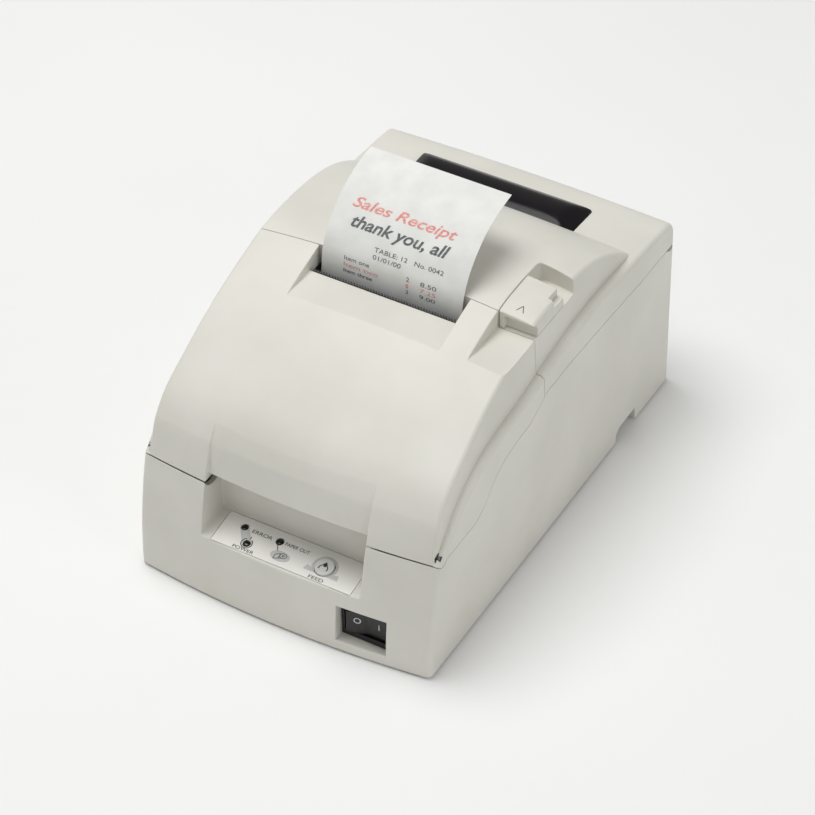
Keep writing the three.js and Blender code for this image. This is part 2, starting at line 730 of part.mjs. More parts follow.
// Roll cover with its window, lever pocket, hinge ears and platen arms
const armX = paperWidth / 2 + 6;
const armWidth = 3;
const armRearY = coverSeamY + 13.4;
const pressureRadius = 4.5;
const pressureY = paperY + 0.5 + clearance + pressureRadius;
const armFrontY = pressureY - 3;
const slotFrontY = coverSeamY + 5;
const stemWidth = 6;
const stemX = leverInnerX + 6;
const leverSlot = box(
  [stemX - 0.5, slotFrontY - 0.5, leverFloorZ - 8],
  [stemX + stemWidth + 0.5, slotFrontY + stemWidth + leverTravel + 1, leverFloorZ + 4],
);
function rollCoverSolid() {
  let cover = shell.intersect(slabAbove).intersect(behindSeam);
  cover = cutAll(cover, windowSolid(clearance), leverSlot);
  for (const [, side] of sides) {
    const [a0, a1] = spanX(side, armX, armX + armWidth);
    const arm = union(
      box([a0, armFrontY, feedAxisZ - 4], [a1, armRearY, printLineZ + 10]),
      box([a0, coverSeamY + 1, printLineZ], [a1, armRearY, domeEdgeTopZ]),
    );
    cover = cover.add(arm.intersect(outerForm));
    const pivotRadius = 1.5 + clearance;
    const pivot = rod([a0 - 1, pressureY, feedAxisZ], [a1 + 1, pressureY, feedAxisZ], pivotRadius, 16);
    cover = cover.subtract(pivot);
    const [e0, e1] = spanX(side, earInnerX - clearance - wall, earInnerX - clearance);
    const ear = union(
      prismX(circleOutline(rollHingeY, rollHingeZ, rollEarRadius), e0, e1),
      box([e0, rollHingeY - rollEarRadius, rollHingeZ], [e1, rollHingeY + rollEarRadius, rimTopZ - 5]),
    );
    cover = cover.add(ear.intersect(outerForm));
    const [r0, r1] = spanX(side, earInnerX - clearance, innerSkinX);
    const room = rollEarRadius + 0.35;
    cover = cover.subtract(prismX(circleOutline(rollHingeY, rollHingeZ, room), r0, r1));
    const below = box([r0, rollHingeY - room, rearSeamZ - 4], [r1, rollHingeY + room, rollHingeZ]);
    cover = cover.subtract(below);
    const through = rod(
      [e0 - 1, rollHingeY, rollHingeZ],
      [e1 + 1, rollHingeY, rollHingeZ],
      rollPinRadius + clearance,
      16,
    );
    cover = cover.subtract(through);
  }
  return cover;
}
piece("roll_cover", rollCoverSolid(), "shell");
piece("roll_window", windowSolid(0).subtract(windowCavity()), "smoked");

function windowCavity() {
  return box(
    [windowLeftX + 6, windowFrontY + 2.5, hoodZ - 12],
    [windowRightX - 6, windowRearY - 2.5, hoodZ - 0.5],
  );
}

// Cover-open lever: slides rearward into the pocket
function leverSolid() {
  const low = [leverInnerX + clearance, coverSeamY + seamGap, leverFloorZ + clearance];
  let lever = outerOfDome().intersect(box(low, [halfWidth, leverRearY, crestHeight + 5]));
  const hollow = prismX(
    circleOutline(coverSeamY - 1, leverFloorZ + 3.2, 4.6, 24),
    leverInnerX + 3,
    halfWidth,
  );
  lever = lever.subtract(hollow);
  const notch = box(
    [domeHalfWidth - 3, leverRearY - 9, leverFloorZ + 5],
    [halfWidth, leverRearY + 1, crestHeight + 5],
  );
  lever = lever.subtract(notch);
  const stem = box(
    [stemX, slotFrontY, leverFloorZ - wall - 9],
    [stemX + stemWidth, slotFrontY + stemWidth, leverFloorZ + 1],
  );
  return lever.add(stem);
}
function outerOfDome() {
  return crossBody(domeOutline(), domeHalfWidth, domeRound, domeForm);
}
piece("cover_open_lever", leverSolid(), "shell");
const hookTopZ = leverFloorZ - wall - 9 - clearance;
const strikeZ = printLineZ - 4;
piece(
  "latch_hook",
  union(
    box([stemX, slotFrontY, strikeZ - 6], [stemX + 1.5, slotFrontY + stemWidth, hookTopZ]),
    box([stemX, slotFrontY - 5, strikeZ - 6], [stemX + 1.5, slotFrontY + 1, strikeZ - 3]),
  ),
  "steel",
);

// Tear bar: a serrated steel strip along the mouth's front edge
function tearBarSolid() {
  const toothPitch = 1.5;
  const count = Math.floor((2 * (mouthHalfWidth - 2)) / toothPitch);
  const half = (count * toothPitch) / 2;
  const outline = [new THREE.Vector2(-half, rampBackZ - 9), new THREE.Vector2(half, rampBackZ - 9)];
  for (let i = count; i >= 0; i -= 1) {
    outline.push(new THREE.Vector2(-half + i * toothPitch, rampBackZ - 0.2));
    if (i > 0) outline.push(new THREE.Vector2(-half + (i - 0.5) * toothPitch, rampBackZ + 1.4));
  }
  const geometry = new THREE.ExtrudeGeometry(new THREE.Shape(outline), { depth: 0.8, bevelEnabled: false });
  geometry.rotateX(Math.PI / 2);
  return solidOf(geometry.translate(0, mouthFrontY + 0.8 + clearance, 0));
}
piece("tear_bar", tearBarSolid(), "steel");

// Power switch: housing behind the pocket, rocker on a vertical pivot
const housingHalfX = switchWidth / 2 - clearance;
const housingHalfZ = switchHeight / 2 - clearance;
const rockerHalfX = 10.2;
const rockerHalfZ = 6.6;
const rockerPivotY = switchFaceY + 2.4;
const rockerAngle = THREE.MathUtils.degToRad(8);
function powerSwitchSolid() {
  const faceY = switchFaceY - 2;
  const bezel = box(
    [switchCentreX - housingHalfX, faceY, switchCentreZ - housingHalfZ],
    [switchCentreX + housingHalfX, switchFaceY - clearance, switchCentreZ + housingHalfZ],
  );
  const bodyHalfX = housingHalfX - 1.2;
  const bodyHalfZ = housingHalfZ - 1.2;
  const back = box(
    [switchCentreX - bodyHalfX, faceY + 1, switchCentreZ - bodyHalfZ],
    [switchCentreX + bodyHalfX, switchFaceY + 18, switchCentreZ + bodyHalfZ],
  );
  const room = box(
    [switchCentreX - rockerHalfX - 0.9, faceY - 1, switchCentreZ - rockerHalfZ - clearance],
    [switchCentreX + rockerHalfX + 0.9, switchFaceY + 9, switchCentreZ + rockerHalfZ + clearance],
  );
  return bezel.add(back).subtract(room);
}
piece("power_switch", powerSwitchSolid(), "darkPlastic");
function rockerSolid() {
  const outline = [
    [-rockerHalfX, -4.6],
    [0, -3.2],
    [rockerHalfX, -4.6],
    [rockerHalfX - 1.2, 1],
    [0, 4.2],
    [-rockerHalfX + 1.2, 1],
  ];
  const shape = new THREE.Shape(outline.map(([x, y]) => new THREE.Vector2(x, y)));
  const geometry = new THREE.ExtrudeGeometry(shape, { depth: 2 * rockerHalfZ, bevelEnabled: false });
  geometry.rotateZ(rockerAngle);
  return solidOf(geometry.translate(switchCentreX, rockerPivotY, switchCentreZ - rockerHalfZ));
}
piece("power_rocker", rockerSolid(), "darkPlastic");

// Base plate, feet and screws
const plateRearY = channelFrontY - wall - 1;
const plateHalf = halfWidth - wall - clearance;
function bottomPlateSolid() {
  const inside = inset(bodyOutline(), wall + clearance).map(openBelow);
  const room = crossBody(inside, plateHalf, edgeRound, bodyForm);
  let plate = box([-plateHalf, frontY, plateBottomZ], [plateHalf, plateRearY, plateTopZ]).intersect(room);
  for (const [, x, y] of screwPlaces) {
    plate = plate.subtract(rod([x, y, 0], [x, y, 9], screwRadius + clearance, 16));
  }
  return plate;
}
piece("bottom_plate", bottomPlateSolid(), "zinc");
const footX = halfWidth - 20;
for (const [end, y] of [["front", frontY + 24], ["rear", plateRearY - 14]]) {
  for (const [name, side] of sides) {
    const x = side * footX;
    piece(`foot_${end}_${name}`, rod([x, y, 0], [x, y, footHeight], footRadius, 28), "rubber");
  }
}
screwPlaces.forEach(([name, x, y], i) => {
  const end = i < 2 ? "front" : "rear";
  const head = rod([x, y, plateBottomZ - clearance - 1.2], [x, y, plateBottomZ - clearance], 3, 16);
  const thread = rod([x, y, plateBottomZ - 1], [x, y, bossTopZ - 4], screwRadius, 12);
  piece(`case_screw_${end}_${name}`, head.add(thread), "zinc");
});

// Hinge pins
for (const [name, side] of sides) {
  const [f0, f1] = spanX(side, earInnerX - 0.2, halfWidth - 1.2);
  const frontPin = rod([f0, frontHingeY, frontHingeZ], [f1, frontHingeY, frontHingeZ], frontPinRadius, 12);
  piece(`front_cover_pin_${name}`, frontPin, "steel");
  const [r0, r1] = spanX(side, earInnerX - wall - 1.4, earOuterX);
  const rollPin = rod([r0, rollHingeY, rollHingeZ], [r1, rollHingeY, rollHingeZ], rollPinRadius, 12);
  piece(`roll_cover_pin_${name}`, rollPin, "steel");
}

// Mechanism frame: a folded steel tray with two side plates on four legs
const frameFrontY = frontY + 34;
const frameRearY = frontY + 126;
const trayZ = 14;
const legX = plateHalfWidth - 14;
const gearShaftHole = 1.5 + clearance;
const gearDistance = (gearModule * (pinionTeeth + feedTeeth)) / 2;
const pinionY = feedAxisY - gearDistance * 0.33;
const pinionZ = feedAxisZ - gearDistance * Math.sqrt(1 - 0.33 * 0.33);
function frameSolid() {
  let frame = box(
    [-plateHalfWidth, frameFrontY, trayZ],
    [plateHalfWidth, frameRearY, trayZ + plateThickness],
  );
  for (const [, side] of sides) {
    const highZ = printLineZ - 8;
    const plate = sideBox(
      side,
      plateHalfWidth - 0.5,
      plateHalfWidth + plateThickness,
      [frameFrontY, trayZ],
      [frameRearY, highZ],
    );
    frame = frame.add(plate);
    for (const y of [frameFrontY + 6, frameRearY - 6]) {
      frame = frame.add(rod([side * legX, y, plateTopZ + clearance], [side * legX, y, trayZ + 1], 3, 12));
    }
  }
  const highX = plateHalfWidth + 3;
  const across = (y, z, radius) => rod([-highX, y, z], [highX, y, z], radius, 16);
  frame = frame.subtract(across(feedAxisY, feedAxisZ, feedShaftRadius + clearance));
  const lowX = plateHalfWidth - 2;
  const rightOnly = rod([lowX, pinionY, pinionZ], [highX, pinionY, pinionZ], gearShaftHole, 16);
  return frame.subtract(rightOnly);
}
piece("mechanism_frame", frameSolid(), "zinc");
const shaftEndX = plateHalfWidth - 0.5 - clearance;
piece(
  "carriage_shaft",
  rod(
    [-shaftEndX, carriageShaftY, carriageShaftZ],
    [shaftEndX, carriageShaftY, carriageShaftZ],
    carriageShaftRadius,
    24,
  ),
  "steel",
);

// Print head on its carriage
const headNoseY = paperY - 4.1;
function printHeadSolid() {
  const base = box(
    [-headHalfWidth, carriageShaftY - 12, carriageShaftZ - 8],
    [headHalfWidth, carriageShaftY + 11, carriageShaftZ + 13],
  );
  const head = box(
    [-headHalfWidth + 2, carriageShaftY - 4, carriageShaftZ + 12],
    [headHalfWidth - 2, headNoseY - 4, printLineZ + 9],
  );
  const nose = box([-4, headNoseY - 6, printLineZ - 2], [4, headNoseY, printLineZ + 2]);
  const beltTop = beltZ + beltHeight;
  const clamp = box([-3, pulleyY + 4, beltTop + 0.6], [3, carriageShaftY - 8, beltTop + 5]);
  const bore = rod(
    [-headHalfWidth - 1, carriageShaftY, carriageShaftZ],
    [headHalfWidth + 1, carriageShaftY, carriageShaftZ],
    carriageShaftRadius + clearance,
    24,
  );
  return union(base, head, nose, clamp).subtract(bore);
}
piece("print_head", printHeadSolid(), "darkPlastic");

// Carriage drive: motor, two pulleys and a belt
const pulleyLow = beltZ - 1;
const pulleyHigh = beltZ + beltHeight + 1;
function pulleySolid(x) {
  const flange = (z) => rod([x, pulleyY, z], [x, pulleyY, z + 0.7], pulleyRadius + 1.6, 24);
  const drum = rod([x, pulleyY, pulleyLow], [x, pulleyY, pulleyHigh], pulleyRadius, 24);
  const stem = rod([x, pulleyY, pulleyLow - 4], [x, pulleyY, pulleyLow + 1], 2, 12);
  return union(drum, flange(pulleyLow - 0.4), flange(pulleyHigh - 0.3), stem);
}
piece("drive_pulley", pulleySolid(-pulleyX), "nylon");
piece("idler_pulley", pulleySolid(pulleyX), "nylon");
function beltLoop(radius) {
  const half = 12;
  const arc = (x, start) =>
    Array.from({ length: half + 1 }, (_, i) => {
      const angle = start + (Math.PI * i) / half;
      return [x + radius * Math.cos(angle), pulleyY + radius * Math.sin(angle)];
    });
  return [...arc(pulleyX, -Math.PI / 2), ...arc(-pulleyX, Math.PI / 2)];
}
const beltInner = pulleyRadius + clearance;
piece(
  "carriage_belt",
  prismZ(beltLoop(beltInner + 1), beltZ, beltZ + beltHeight).subtract(
    prismZ(beltLoop(beltInner), beltZ - 1, beltZ + beltHeight + 1),
  ),
  "rubber",
);
const motorTopZ = pulleyLow - 4 - clearance;
const motorLowZ = trayZ + plateThickness + clearance;
const belowPulley = (x, radius, sides) =>
  rod([x, pulleyY, motorLowZ], [x, pulleyY, motorTopZ], radius, sides);
piece("carriage_motor", belowPulley(-pulleyX, 15, 28), "steel");
piece("idler_post", belowPulley(pulleyX, 4, 16), "steel");

// Paper feed: motor, pinion, gear, roller and the pressure roller on the roll cover
function gearSolid(teeth, y, z, x0, x1, phase, bore) {
  const pitch = (gearModule * teeth) / 2;
  const root = pitch - 1.2 * gearModule;
  const tip = pitch + 0.85 * gearModule;
  const outline = [];
  for (let i = 0; i < teeth; i += 1) {
    const middle = (2 * Math.PI * (i + phase)) / teeth;
    const rootHalf = (1.9 * gearModule) / 2 / root;
    const tipHalf = (0.7 * gearModule) / 2 / tip;
    for (const [radius, angle] of [
      [root, middle - rootHalf],
      [tip, middle - tipHalf],
      [tip, middle + tipHalf],
      [root, middle + rootHalf],
    ]) {
      outline.push([y + radius * Math.cos(angle), z + radius * Math.sin(angle)]);
    }
  }
  const wheel = prismX(outline, x0, x1);
  return bore > 0 ? wheel.subtract(rod([x0 - 1, y, z], [x1 + 1, y, z], bore, 20)) : wheel;
}
const gearX0 = plateHalfWidth + plateThickness + 0.8;
const gearX1 = gearX0 + 4;
const meshAngle = Math.atan2(pinionZ - feedAxisZ, pinionY - feedAxisY);
const feedPhase = (meshAngle * feedTeeth) / (2 * Math.PI);
const pinionPhase = ((meshAngle + Math.PI) * pinionTeeth) / (2 * Math.PI) + 0.5;
const feedBore = feedShaftRadius + clearance;
piece(
  "feed_gear",
  gearSolid(feedTeeth, feedAxisY, feedAxisZ, gearX0, gearX1, feedPhase, feedBore),
  "nylon",
);
const pinionShaft = rod([plateHalfWidth - 1.4, pinionY, pinionZ], [gearX0 + 1, pinionY, pinionZ], 1.5, 12);
piece(
  "motor_pinion",
  gearSolid(pinionTeeth, pinionY, pinionZ, gearX0, gearX1, pinionPhase, 0).add(pinionShaft),
  "nylon",
);
piece(
  "feed_motor",
  rod(
    [plateHalfWidth - 24, pinionY, pinionZ],
    [plateHalfWidth - 1.4 - clearance, pinionY, pinionZ],
    11,
    28,
  ),
  "steel",
);
piece(
  "feed_roller",
  union(
    rod([-armX + 4, feedAxisY, feedAxisZ], [armX - 4, feedAxisY, feedAxisZ], feedRollerRadius, 28),
    rod(
      [-plateHalfWidth - 1, feedAxisY, feedAxisZ],
      [gearX1 + 0.4, feedAxisY, feedAxisZ],
      feedShaftRadius,
      16,
    ),
  ),
  "rubber",
);
piece(
  "pressure_roller",
  union(
    rod([-armX + 4, pressureY, feedAxisZ], [armX - 4, pressureY, feedAxisZ], pressureRadius, 24),
    rod([-armX - armWidth, pressureY, feedAxisZ], [armX + armWidth, pressureY, feedAxisZ], 1.5, 12),
  ),
  "rubber",
);
const platenY = paperY + 0.5 + clearance;
const platenHalf = armX - clearance;
piece(
  "platen",
  box([-platenHalf, platenY, printLineZ - 6], [platenHalf, platenY + 5, printLineZ + 6]),
  "rubber",
);

// Ribbon cassette with its knob and the ribbon across the print head
const cassetteHalf = plateHalfWidth - 5;
const cassetteLow = printLineZ - 7.5;
const cassetteHigh = printLineZ + 7;
function cassetteSolid() {
  let cassette = box(
    [-cassetteHalf, frameFrontY + 6, cassetteLow],
    [cassetteHalf, carriageShaftY - 13, cassetteHigh],
  );
  for (const [, side] of sides) {
    const wing = sideBox(
      side,
      cassetteHalf - 12,
      cassetteHalf,
      [carriageShaftY - 14, cassetteLow],
      [headNoseY + 0.2, cassetteHigh],
    );
    cassette = cassette.add(wing);
  }
  const rim = rod([knobX, knobY, cassetteHigh - 1], [knobX, knobY, cassetteHigh + 1.4], 10.5, 28);
  const hole = rod([knobX, knobY, cassetteHigh - 3], [knobX, knobY, cassetteHigh + 4], 3.3, 16);
  return cassette.add(rim).subtract(hole);
}
const knobX = -42;
const knobY = pulleyY - 8;
piece("ribbon_cassette", cassetteSolid(), "darkPlastic");
function knobSolid() {
  const bottom = cassetteHigh + 1.4 + clearance;
  const cap = rod([knobX, knobY, bottom], [knobX, knobY, bottom + 4], 8.5, 28);
  const grip = box([knobX - 7, knobY - 1.4, bottom + 3], [knobX + 7, knobY + 1.4, bottom + 7]);
  const stem = rod([knobX, knobY, cassetteHigh - 2.4], [knobX, knobY, bottom + 1], 3, 16);
  return union(cap, grip, stem);
}
piece("ribbon_knob", knobSolid(), "nylon");
const ribbonY = headNoseY + clearance + 0.2;
piece(
  "ink_ribbon",
  box([-cassetteHalf + 4, ribbonY, printLineZ - 6], [cassetteHalf - 4, ribbonY + 0.3, printLineZ + 6]),
  "ink",
);

// Paper bin, paper roll on its core, near-end sensor lever and the paper that leaves the mouth
const binRadius = rollRadius + 2.5;
const binHalf = paperWidth / 2 + 1.5;
const binLegs = [
  [-31, -25, rollCentreZ - 20],
  [0, 8, rollCentreZ - 30],
];
function binSolid() {
  const outer = binRadius + 2;
  const arc = (radius) =>
    Array.from({ length: 25 }, (_, i) => {
      const angle = Math.PI + (Math.PI * i) / 24;
      return [rollCentreY + radius * Math.cos(angle), rollCentreZ + radius * Math.sin(angle)];
    });
  const section = [...arc(outer), ...arc(binRadius).reverse()];
  let bin = prismX(section, rollCentreX - binHalf - 2, rollCentreX + binHalf + 2);
  for (const [, side] of sides) {
    const [x0, x1] = side > 0 ? [binHalf, binHalf + 2] : [-binHalf - 2, -binHalf];
    bin = bin.add(prismX(arc(outer - 0.4), rollCentreX + x0, rollCentreX + x1));
    for (const [legFront, legRear, topZ] of binLegs) {
      const low = [rollCentreX + x0, rollCentreY + legFront, plateTopZ + clearance];
      bin = bin.add(box(low, [rollCentreX + x1, rollCentreY + legRear, topZ]));
    }
  }
  return bin;
}
piece("paper_bin", binSolid(), "darkPlastic");
function ringSolid(inner, outer, half, count) {
  const profile = [
    new THREE.Vector2(inner, -half),
    new THREE.Vector2(outer, -half),
    new THREE.Vector2(outer, half),
    new THREE.Vector2(inner, half),
    new THREE.Vector2(inner, -half),
  ];
  const lathe = new THREE.LatheGeometry(profile, count);
  lathe.rotateZ(-Math.PI / 2);
  return solidOf(lathe.translate(rollCentreX, rollCentreY, rollCentreZ));
}
piece("paper_roll", ringSolid(rollCoreRadius + clearance, rollRadius, paperWidth / 2, 56), "paper");
const coreHalf = paperWidth / 2 + 0.6;
piece("roll_core", ringSolid(rollCoreRadius - 2.5, rollCoreRadius, coreHalf, 32), "greyPlastic");
const leverX0 = rollCentreX + binHalf + 2 + 0.8;
const nearEndY = rollCentreY - 30;
piece(
  "near_end_lever",
  union(
    box([leverX0, rollCentreY - 32, rollCentreZ - 22], [leverX0 + 2, rollCentreY - 4, rollCentreZ - 17]),
    rod([leverX0, nearEndY, rollCentreZ - 19.5], [leverX0 + 5, nearEndY, rollCentreZ - 19.5], 3.5, 16),
  ),
  "nylon",
);

// The paper rises from the mouth and curls back over the roll cover.
function stripSolid() {
  const front = splinePoints(
    [
      [paperY, printLineZ - 9],
      [paperY, rampBackZ - 14],
      [paperY + 0.9, rampBackZ],
      [paperY + 3.3, rampBackZ + 11],
      [paperY + 10.5, rampBackZ + 21.6],
      [paperY + 22, rampBackZ + 30.6],
      [paperY + 35, rampBackZ + 35.6],
      [paperY + 48, rampBackZ + 37.8],
    ],
    26,
  );
  const back = front.map(([y, z], i) => {
    const [ay, az] = front[Math.max(0, i - 1)];
    const [by, bz] = front[Math.min(front.length - 1, i + 1)];
    const length = Math.hypot(by - ay, bz - az);
    return [y + ((bz - az) / length) * paperThickness, z - ((by - ay) / length) * paperThickness];
  });
  return prismX([...front.reverse(), ...back], -paperWidth / 2, paperWidth / 2);
}
piece("paper_strip", stripSolid(), "paper");

// Control board and the connector bay
const boardHalf = legX - 8;
piece(
  "control_board",
  box([-boardHalf, frameFrontY + 2, trayZ - 6], [boardHalf, rollCentreY - 36, trayZ - 4.4]),
  "board",
);
const connectorFace = bayFrontY + 1.5;
function connectorPlateSolid() {
  return box(
    [-bayHalfWidth + 1, bayFrontY + clearance, 6],
    [bayHalfWidth - 1, connectorFace, bayHeight - 1],
  );
}
piece("connector_plate", connectorPlateSolid(), "zinc");
const socketY = connectorFace + clearance;
const socketRow = [
  ["interface_connector", -28, 24, 7, 8],
  ["drawer_socket", 18, 7, 7, 12],
  ["power_inlet", 42, 8, 7, 12],
];
for (const [name, x, half, halfZ, depth] of socketRow) {
  const z = 19;
  const body = box([x - half, socketY, z - halfZ], [x + half, socketY + depth, z + halfZ]);
  const rim = 1.8;
  const mouth = box(
    [x - half + rim, socketY + 2.5, z - halfZ + rim],
    [x + half - rim, socketY + depth + 1, z + halfZ - rim],
  );
  piece(name, body.subtract(mouth), "darkPlastic");
}
const groundX = bayHalfWidth - 10;
piece("ground_screw", rod([groundX, socketY, 19], [groundX, socketY + 3, 19], 3.2, 16), "zinc");

export default printer;
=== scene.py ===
import json
import math

import bmesh
import bpy
import numpy as np
from mathutils import Matrix, Vector


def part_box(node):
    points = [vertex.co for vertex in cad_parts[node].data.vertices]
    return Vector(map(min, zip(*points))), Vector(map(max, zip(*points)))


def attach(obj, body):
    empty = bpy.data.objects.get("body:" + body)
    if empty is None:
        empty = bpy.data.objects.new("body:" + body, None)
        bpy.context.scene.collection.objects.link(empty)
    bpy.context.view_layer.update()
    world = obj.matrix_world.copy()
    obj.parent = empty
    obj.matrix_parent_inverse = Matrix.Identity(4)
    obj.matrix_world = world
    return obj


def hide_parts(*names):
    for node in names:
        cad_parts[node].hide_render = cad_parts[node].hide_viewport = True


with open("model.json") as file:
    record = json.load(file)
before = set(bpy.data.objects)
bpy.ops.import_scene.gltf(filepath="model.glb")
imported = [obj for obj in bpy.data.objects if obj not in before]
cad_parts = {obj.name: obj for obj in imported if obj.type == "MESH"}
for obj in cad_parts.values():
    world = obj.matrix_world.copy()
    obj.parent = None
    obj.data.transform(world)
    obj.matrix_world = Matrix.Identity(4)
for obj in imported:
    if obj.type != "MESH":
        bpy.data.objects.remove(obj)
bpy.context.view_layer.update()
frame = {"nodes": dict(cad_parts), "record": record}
mm = 0.001  # shapes are worked out in millimetres and stored in metres


def boxOf(node):
    # lowest and highest corner of a frame node, in millimetres
    low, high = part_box(node)
    return np.array(low) / mm, np.array(high) / mm


lowerLow, lowerHigh = boxOf("lower_case")
stripLow, stripHigh = boxOf("paper_strip")

case = {
    "halfWidth": lowerHigh[0],
    "frontY": lowerLow[1],
    "rearY": lowerHigh[1],
    "bottomZ": lowerLow[2],
    "crestZ": boxOf("roll_cover")[1][2],
    "wall": 2.5,
    "seamGap": 0.35,
    "clearance": 0.3,
    "frontBow": 5.3,  # the middle of the front stands this far ahead of its corners
    "leanRadius": 232.0,  # the front wall leans back on this arc
    "rearRound": 9.0,
    "edgeRound": 2.6,
    "domeRound": 1.8,
    "ledgeWidth": 6.0,  # from the flank in to the dome's side
    "flankDraft": 0.05,
    "domeCrown": 4.7,
    "bodyCrown": 2.0,
    "rimFall": 29.0,
    "coverSeamY": -10.4,
    "frontSeamZ": 65.1,
    "rearSeamZ": 89.5,
    "gridStep": 2.6,  # spacing of the skin's grid
    "softEdge": 0.7,  # rounding where a hollow meets the skin
}
panel = {
    "halfWidth": 43.4,
    "lipZ": 36.1,
    "backRise": 3.4,
    "depth": 21.5,
    "bandRise": 3.2,
    "bandSetBack": 3.4,
    "bandApexZ": 99.0,
    "bandPower": 1.5,
    "labelMargin": 5.4,
    "labelDepth": 0.9,
    "lineWidth": 0.42,  # of the printed pictures
}
switch = {"width": 26.0, "height": 21.0, "x": 44.3, "z": 17.0, "faceY": -115.0}
mouth = {"halfWidth": 40.7, "frontY": -20.7, "rampLength": 20.0, "rampBackZ": 127.4, "rampFrontDrop": 1.4}
lever = {
    "innerX": 55.2,
    "length": 28.0,
    "height": 11.0,
    "travel": 6.0,
    "pocketLength": 40.0,
    "rampLength": 29.0,
    "edgeBow": 3.2,  # how far the pocket's rear edge comes forward at the flank
    "fingerRadius": 4.6,
    "sink": 0.12,  # its top lies this far under the dome's surface
}
window = {"leftX": -51.0, "rightX": 43.5, "frontY": 83.0, "rearY": 105.5, "endSlope": 1.6}
rear = {
    "bayDepth": 26.0,
    "bayHeight": 33.0,
    "bayHalf": 72.0,
    "channelFrontY": 67.0,
    "channelRearY": 87.5,
    "channelHeight": 8.6,
}
hinge = {"frontY": -106.0, "frontZ": 67.5, "rearY": 120.0, "rearZ": 92.0, "frontPin": 1.0, "rearPin": 1.2}

cornerFrontY = case["frontY"] + case["frontBow"]
domeHalf = case["halfWidth"] - case["ledgeWidth"]
domeEdgeZ = case["crestZ"] - case["domeCrown"]
rimTopZ = case["crestZ"] - case["rimFall"]
gap = case["seamGap"] / 2
innerX = case["halfWidth"] - case["wall"]
farAway = 200.0  # past every side of the case


def smoothStep(t):
    # three t squared less two t cubed, held between 0 and 1
    s = np.clip(t, 0, 1)
    return s * s * (3 - 2 * s)


def unitRows(rows):
    # each row divided by its own length
    return rows / np.maximum(np.linalg.norm(rows, axis=-1, keepdims=True), 1e-9)


def evenPoints(path, count):
    # count + 1 points at equal distances along a path
    length = np.concatenate([[0], np.cumsum(np.linalg.norm(np.diff(path, axis=0), axis=1))])
    even = np.linspace(0, length[-1], count + 1)
    return np.column_stack([np.interp(even, length, path[:, k]) for k in range(path.shape[1])])


def splineThrough(points, count):
    # Catmull-Rom: each span is the cubic whose end slopes are half the step between the outer neighbours
    points = np.array(points, float)
    control = np.vstack([points[:1], points, points[-1:]])
    spans = len(points) - 1
    t = np.linspace(0, spans, spans * 40 + 1)
    i = np.minimum(t.astype(int), spans - 1)
    w = (t - i)[:, None]
    a, b, c, d = control[i], control[i + 1], control[i + 2], control[i + 3]
    curve = 0.5 * (2 * b + (c - a) * w + (2 * a - 5 * b + 4 * c - d) * w**2 + (3 * b - a - 3 * c + d) * w**3)
    return evenPoints(curve, count)


def eased(path, reach):
    # each inner point becomes the mean of its neighbours within reach; the ends stay
    if reach < 1:
        return path
    padded = np.vstack([2 * path[0] - path[reach:0:-1], path, 2 * path[-1] - path[-2 : -reach - 2 : -1]])
    kernel = np.ones(2 * reach + 1) / (2 * reach + 1)
    smooth = np.column_stack([np.convolve(padded[:, k], kernel, "valid") for k in range(path.shape[1])])
    smooth[0], smooth[-1] = path[0], path[-1]
    return smooth


def outwardOf(loop):
    # each point's side normal: the direction from the point before to the point after, turned a quarter
    tangent = unitRows(np.roll(loop, -1, axis=0) - np.roll(loop, 1, axis=0))
    return np.column_stack([tangent[:, 1], -tangent[:, 0]])


def atX(outline, x):
    # a Y-Z outline as points at one X
    return np.column_stack([np.full(len(outline), x), outline])


def atHeight(loop, z):
    # an X-Y loop as points at one height
    return np.column_stack([loop, np.full(len(loop), z)])


def insetOutline(outline, distance):
    # moves each point inwards along the mean of its two side normals, stretched at corners
    before = unitRows(outline - np.roll(outline, 1, axis=0))
    after = unitRows(np.roll(outline, -1, axis=0) - outline)
    tangent = unitRows(before + after)
    stretch = distance / np.maximum(0.5, (tangent * after).sum(axis=1))
    return outline + np.column_stack([tangent[:, 1], -tangent[:, 0]]) * stretch[:, None]


def circlePoints(centre, radius, count=40):
    # radius times cosine and sine of an even turn
    angle = np.linspace(0, 2 * math.pi, count, endpoint=False)
    return np.column_stack([centre[0] + radius * np.cos(angle), centre[1] + radius * np.sin(angle)])


def roundedLoop(low, high, radii, spacing=2.0):
    # a rectangle whose corners are quarter circles, listed from the high corner round to the left
    (x0, y0), (x1, y1) = low, high
    corners = [(x1, y1, -1, -1), (x0, y1, 1, -1), (x0, y0, 1, 1), (x1, y0, -1, 1)]
    points = []
    for turn, ((x, y, inX, inY), radius) in enumerate(zip(corners, radii)):
        angle = math.pi / 2 * (turn + np.linspace(0, 1, 7))
        across, along = x + inX * radius + radius * np.cos(angle), y + inY * radius + radius * np.sin(angle)
        points.append(np.column_stack([across, along]))
    loop = np.vstack(points)
    loop = np.vstack([loop, loop[:1]])
    dense = []
    for start, end in zip(loop[:-1], loop[1:]):
        steps = max(1, int(np.linalg.norm(end - start) / spacing))
        dense.append(start + (end - start) * (np.arange(steps) / steps)[:, None])
    return np.vstack(dense)


def addObject(name, data):
    # a new object in the scene, at the origin and unturned
    added = bpy.data.objects.new(name, data)
    bpy.context.scene.collection.objects.link(added)
    return added


def addMesh(name, points, faces):
    # points in millimetres, stored in metres
    mesh = bpy.data.meshes.new(name)
    mesh.from_pydata((np.asarray(points) * mm).tolist(), [], faces)
    mesh.validate()
    return addObject(name, mesh)


